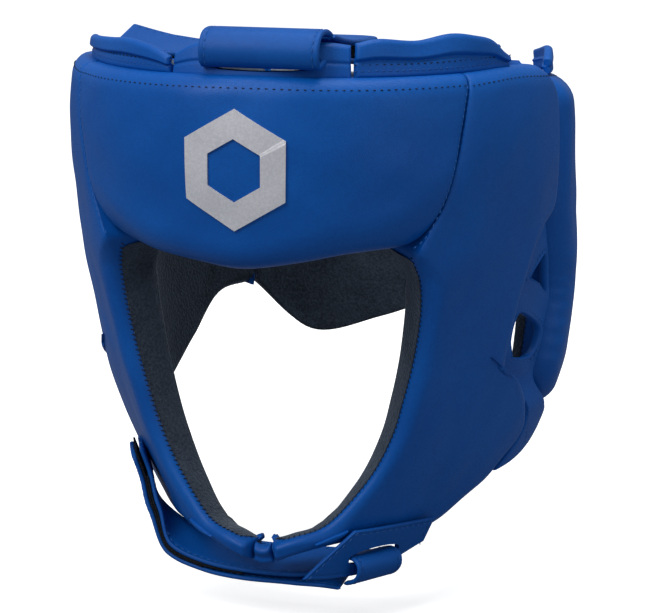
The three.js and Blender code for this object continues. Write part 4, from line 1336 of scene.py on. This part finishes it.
def makeStitchTree():
    tree = bpy.data.node_groups.new("stitchRun", "GeometryNodeTree")
    face = tree.interface
    face.new_socket("Geometry", in_out="INPUT", socket_type="NodeSocketGeometry")
    for label, value in (("Pitch", 0.003), ("Length", 0.0015), ("Thickness", 0.0005), ("Slant", 0.0)):
        face.new_socket(label, in_out="INPUT", socket_type="NodeSocketFloat").default_value = value
    face.new_socket("Thread", in_out="INPUT", socket_type="NodeSocketMaterial")
    face.new_socket("Geometry", in_out="OUTPUT", socket_type="NodeSocketGeometry")
    start, finish = tree.nodes.new("NodeGroupInput"), tree.nodes.new("NodeGroupOutput")
    node = lambda kind: tree.nodes.new("GeometryNode" + kind)
    curve, spaced = node("MeshToCurve"), node("ResampleCurve")
    spaced.mode = "LENGTH"
    tree.links.new(start.outputs["Geometry"], curve.inputs["Mesh"])
    tree.links.new(curve.outputs["Curve"], spaced.inputs["Curve"])
    tree.links.new(start.outputs["Pitch"], spaced.inputs["Length"])
    facing = node("InputNamedAttribute")
    facing.data_type = "FLOAT_VECTOR"
    facing.inputs["Name"].default_value = "facing"
    tangent = node("InputTangent")
    turn = tree.nodes.new("FunctionNodeAxesToRotation")
    turn.primary_axis, turn.secondary_axis = "Z", "X"
    tree.links.new(facing.outputs["Attribute"], turn.inputs["Primary Axis"])
    tree.links.new(tangent.outputs["Tangent"], turn.inputs["Secondary Axis"])
    skew = tree.nodes.new("FunctionNodeAxisAngleToRotation")
    skew.inputs["Axis"].default_value = (0, 0, 1)
    tree.links.new(start.outputs["Slant"], skew.inputs["Angle"])
    both = tree.nodes.new("FunctionNodeRotateRotation")
    both.rotation_space = "LOCAL"
    tree.links.new(turn.outputs["Rotation"], both.inputs["Rotation"])
    tree.links.new(skew.outputs["Rotation"], both.inputs["Rotate By"])
    bead = node("MeshUVSphere")
    bead.inputs["Segments"].default_value, bead.inputs["Rings"].default_value = 6, 5
    bead.inputs["Radius"].default_value = 0.5
    size = tree.nodes.new("ShaderNodeCombineXYZ")
    tree.links.new(start.outputs["Length"], size.inputs["X"])
    tree.links.new(start.outputs["Thickness"], size.inputs["Y"])
    tree.links.new(start.outputs["Thickness"], size.inputs["Z"])
    place = node("InstanceOnPoints")
    tree.links.new(spaced.outputs["Curve"], place.inputs["Points"])
    tree.links.new(bead.outputs["Mesh"], place.inputs["Instance"])
    tree.links.new(both.outputs["Rotation"], place.inputs["Rotation"])
    tree.links.new(size.outputs["Vector"], place.inputs["Scale"])
    real, paint = node("RealizeInstances"), node("SetMaterial")
    tree.links.new(place.outputs["Instances"], real.inputs["Geometry"])
    tree.links.new(real.outputs["Geometry"], paint.inputs["Geometry"])
    tree.links.new(start.outputs["Thread"], paint.inputs["Material"])
    tree.links.new(paint.outputs["Geometry"], finish.inputs["Geometry"])
    return tree


def setInput(modifier, label, value):
    sockets = modifier.node_group.interface.items_tree
    socket = next(item for item in sockets if item.name == label and item.in_out == "INPUT")
    modifier[socket.identifier] = value


def makeStitches(tree, body, look, runs):
    s = stitchLooks[look]
    verts, edges, facings = [], [], []
    for points, facing in runs:
        base = len(verts)
        verts += (points * mm).tolist()
        facings += facing.tolist()
        edges += [(base + k, base + k + 1) for k in range(len(points) - 1)]
    mesh = bpy.data.meshes.new("stitchLines")
    mesh.from_pydata(verts, edges, [])
    facing = mesh.attributes.new("facing", "FLOAT_VECTOR", "POINT")
    facing.data.foreach_set("vector", np.array(facings, np.float32).ravel())
    piece = bpy.data.objects.new(f"{look}_stitches_{body}", mesh)
    bpy.context.scene.collection.objects.link(piece)
    modifier = piece.modifiers.new("stitches", "NODES")
    modifier.node_group = tree
    for label, value in (("Pitch", s["pitch"] * mm), ("Length", s["length"] * mm),
                         ("Thickness", s["thick"] * mm),
                         ("Slant", math.radians(s["slant"])), ("Thread", threads[s["thread"]])):
        setInput(modifier, label, value)
    applyModifiers(piece)
    piece.data.shade_smooth()
    ridePiece(piece, body, s["slot"])
    return len(piece.data.polygons)


stitchTree = makeStitchTree()
stitchFaces = sum(makeStitches(stitchTree, body, look, runs) for (body, look), runs in stitchRuns.items())
print("stitches ready", stitchFaces, "faces")


# light and floor

# white to the camera with a faint shadow, and dull to other rays,
# so that it doesn't light the leather from below
def makeFloorPaint(glow):
    material, tree, shader = newMaterial("paleFloor", 0.9, 0.1)
    shader.inputs["Base Color"].default_value = (0.75, 0.75, 0.75, 1)
    shader.inputs["Emission Color"].default_value = (1, 1, 1, 1)
    shader.inputs["Emission Strength"].default_value = glow
    dull = tree.nodes.new("ShaderNodeBsdfDiffuse")
    dull.inputs["Color"].default_value = (0.22, 0.23, 0.25, 1)
    ray = tree.nodes.new("ShaderNodeLightPath")
    pick = tree.nodes.new("ShaderNodeMixShader")
    tree.links.new(ray.outputs["Is Camera Ray"], pick.inputs["Fac"])
    tree.links.new(dull.outputs[0], pick.inputs[1])
    tree.links.new(shader.outputs[0], pick.inputs[2])
    tree.links.new(pick.outputs[0], tree.nodes["Material Output"].inputs["Surface"])
    return material


def makeStudio():
    world = bpy.data.worlds.new("studio")
    bpy.context.scene.world = world
    world.use_nodes = True
    tree = world.node_tree
    tree.nodes.clear()
    output = tree.nodes.new("ShaderNodeOutputWorld")
    seen, lit = tree.nodes.new("ShaderNodeBackground"), tree.nodes.new("ShaderNodeBackground")
    seen.inputs["Color"].default_value = (1, 1, 1, 1)
    lit.inputs["Color"].default_value = (0.93, 0.96, 1.0, 1)
    lit.inputs["Strength"].default_value = studio["world"]
    pick = tree.nodes.new("ShaderNodeMixShader")
    ray = tree.nodes.new("ShaderNodeLightPath")
    tree.links.new(ray.outputs["Is Camera Ray"], pick.inputs["Fac"])
    tree.links.new(lit.outputs[0], pick.inputs[1])
    tree.links.new(seen.outputs[0], pick.inputs[2])
    tree.links.new(pick.outputs[0], output.inputs["Surface"])
    for name, place, aim, size, power in studio["lamps"]:
        data = bpy.data.lights.new(name, "AREA")
        data.shape, data.size, data.size_y, data.energy = "RECTANGLE", size[0], size[1], power
        lamp = bpy.data.objects.new(name, data)
        bpy.context.scene.collection.objects.link(lamp)
        lamp.location = place
        lamp.rotation_euler = (Vector(aim) - Vector(place)).to_track_quat("-Z", "Y").to_euler()
    mesh = bpy.data.meshes.new("floor")
    z = cadBox[0][2] - 0.012
    mesh.from_pydata([(-8, -8, z), (8, -8, z), (8, 8, z), (-8, 8, z)], [], [(0, 1, 2, 3)])
    floor = bpy.data.objects.new("floor", mesh)
    bpy.context.scene.collection.objects.link(floor)
    floor.data.materials.append(makeFloorPaint(studio["floorGlow"]))
    bpy.context.scene.view_settings.view_transform = "Standard"


studio = {
    "world": 0.30,
    "floorGlow": 0.72,
    "lamps": [
        ("keyLamp", (-0.9, -1.6, 1.7), (0, 0, -0.03), (1.3, 1.3), 33),
        ("topLamp", (0.1, 0.1, 1.9), (0, 0, 0), (1.5, 1.5), 24),
        ("sideLamp", (1.9, -0.9, 0.4), (0, 0, -0.05), (1.0, 1.4), 5),
    ],
}
makeStudio()
print("studio ready")
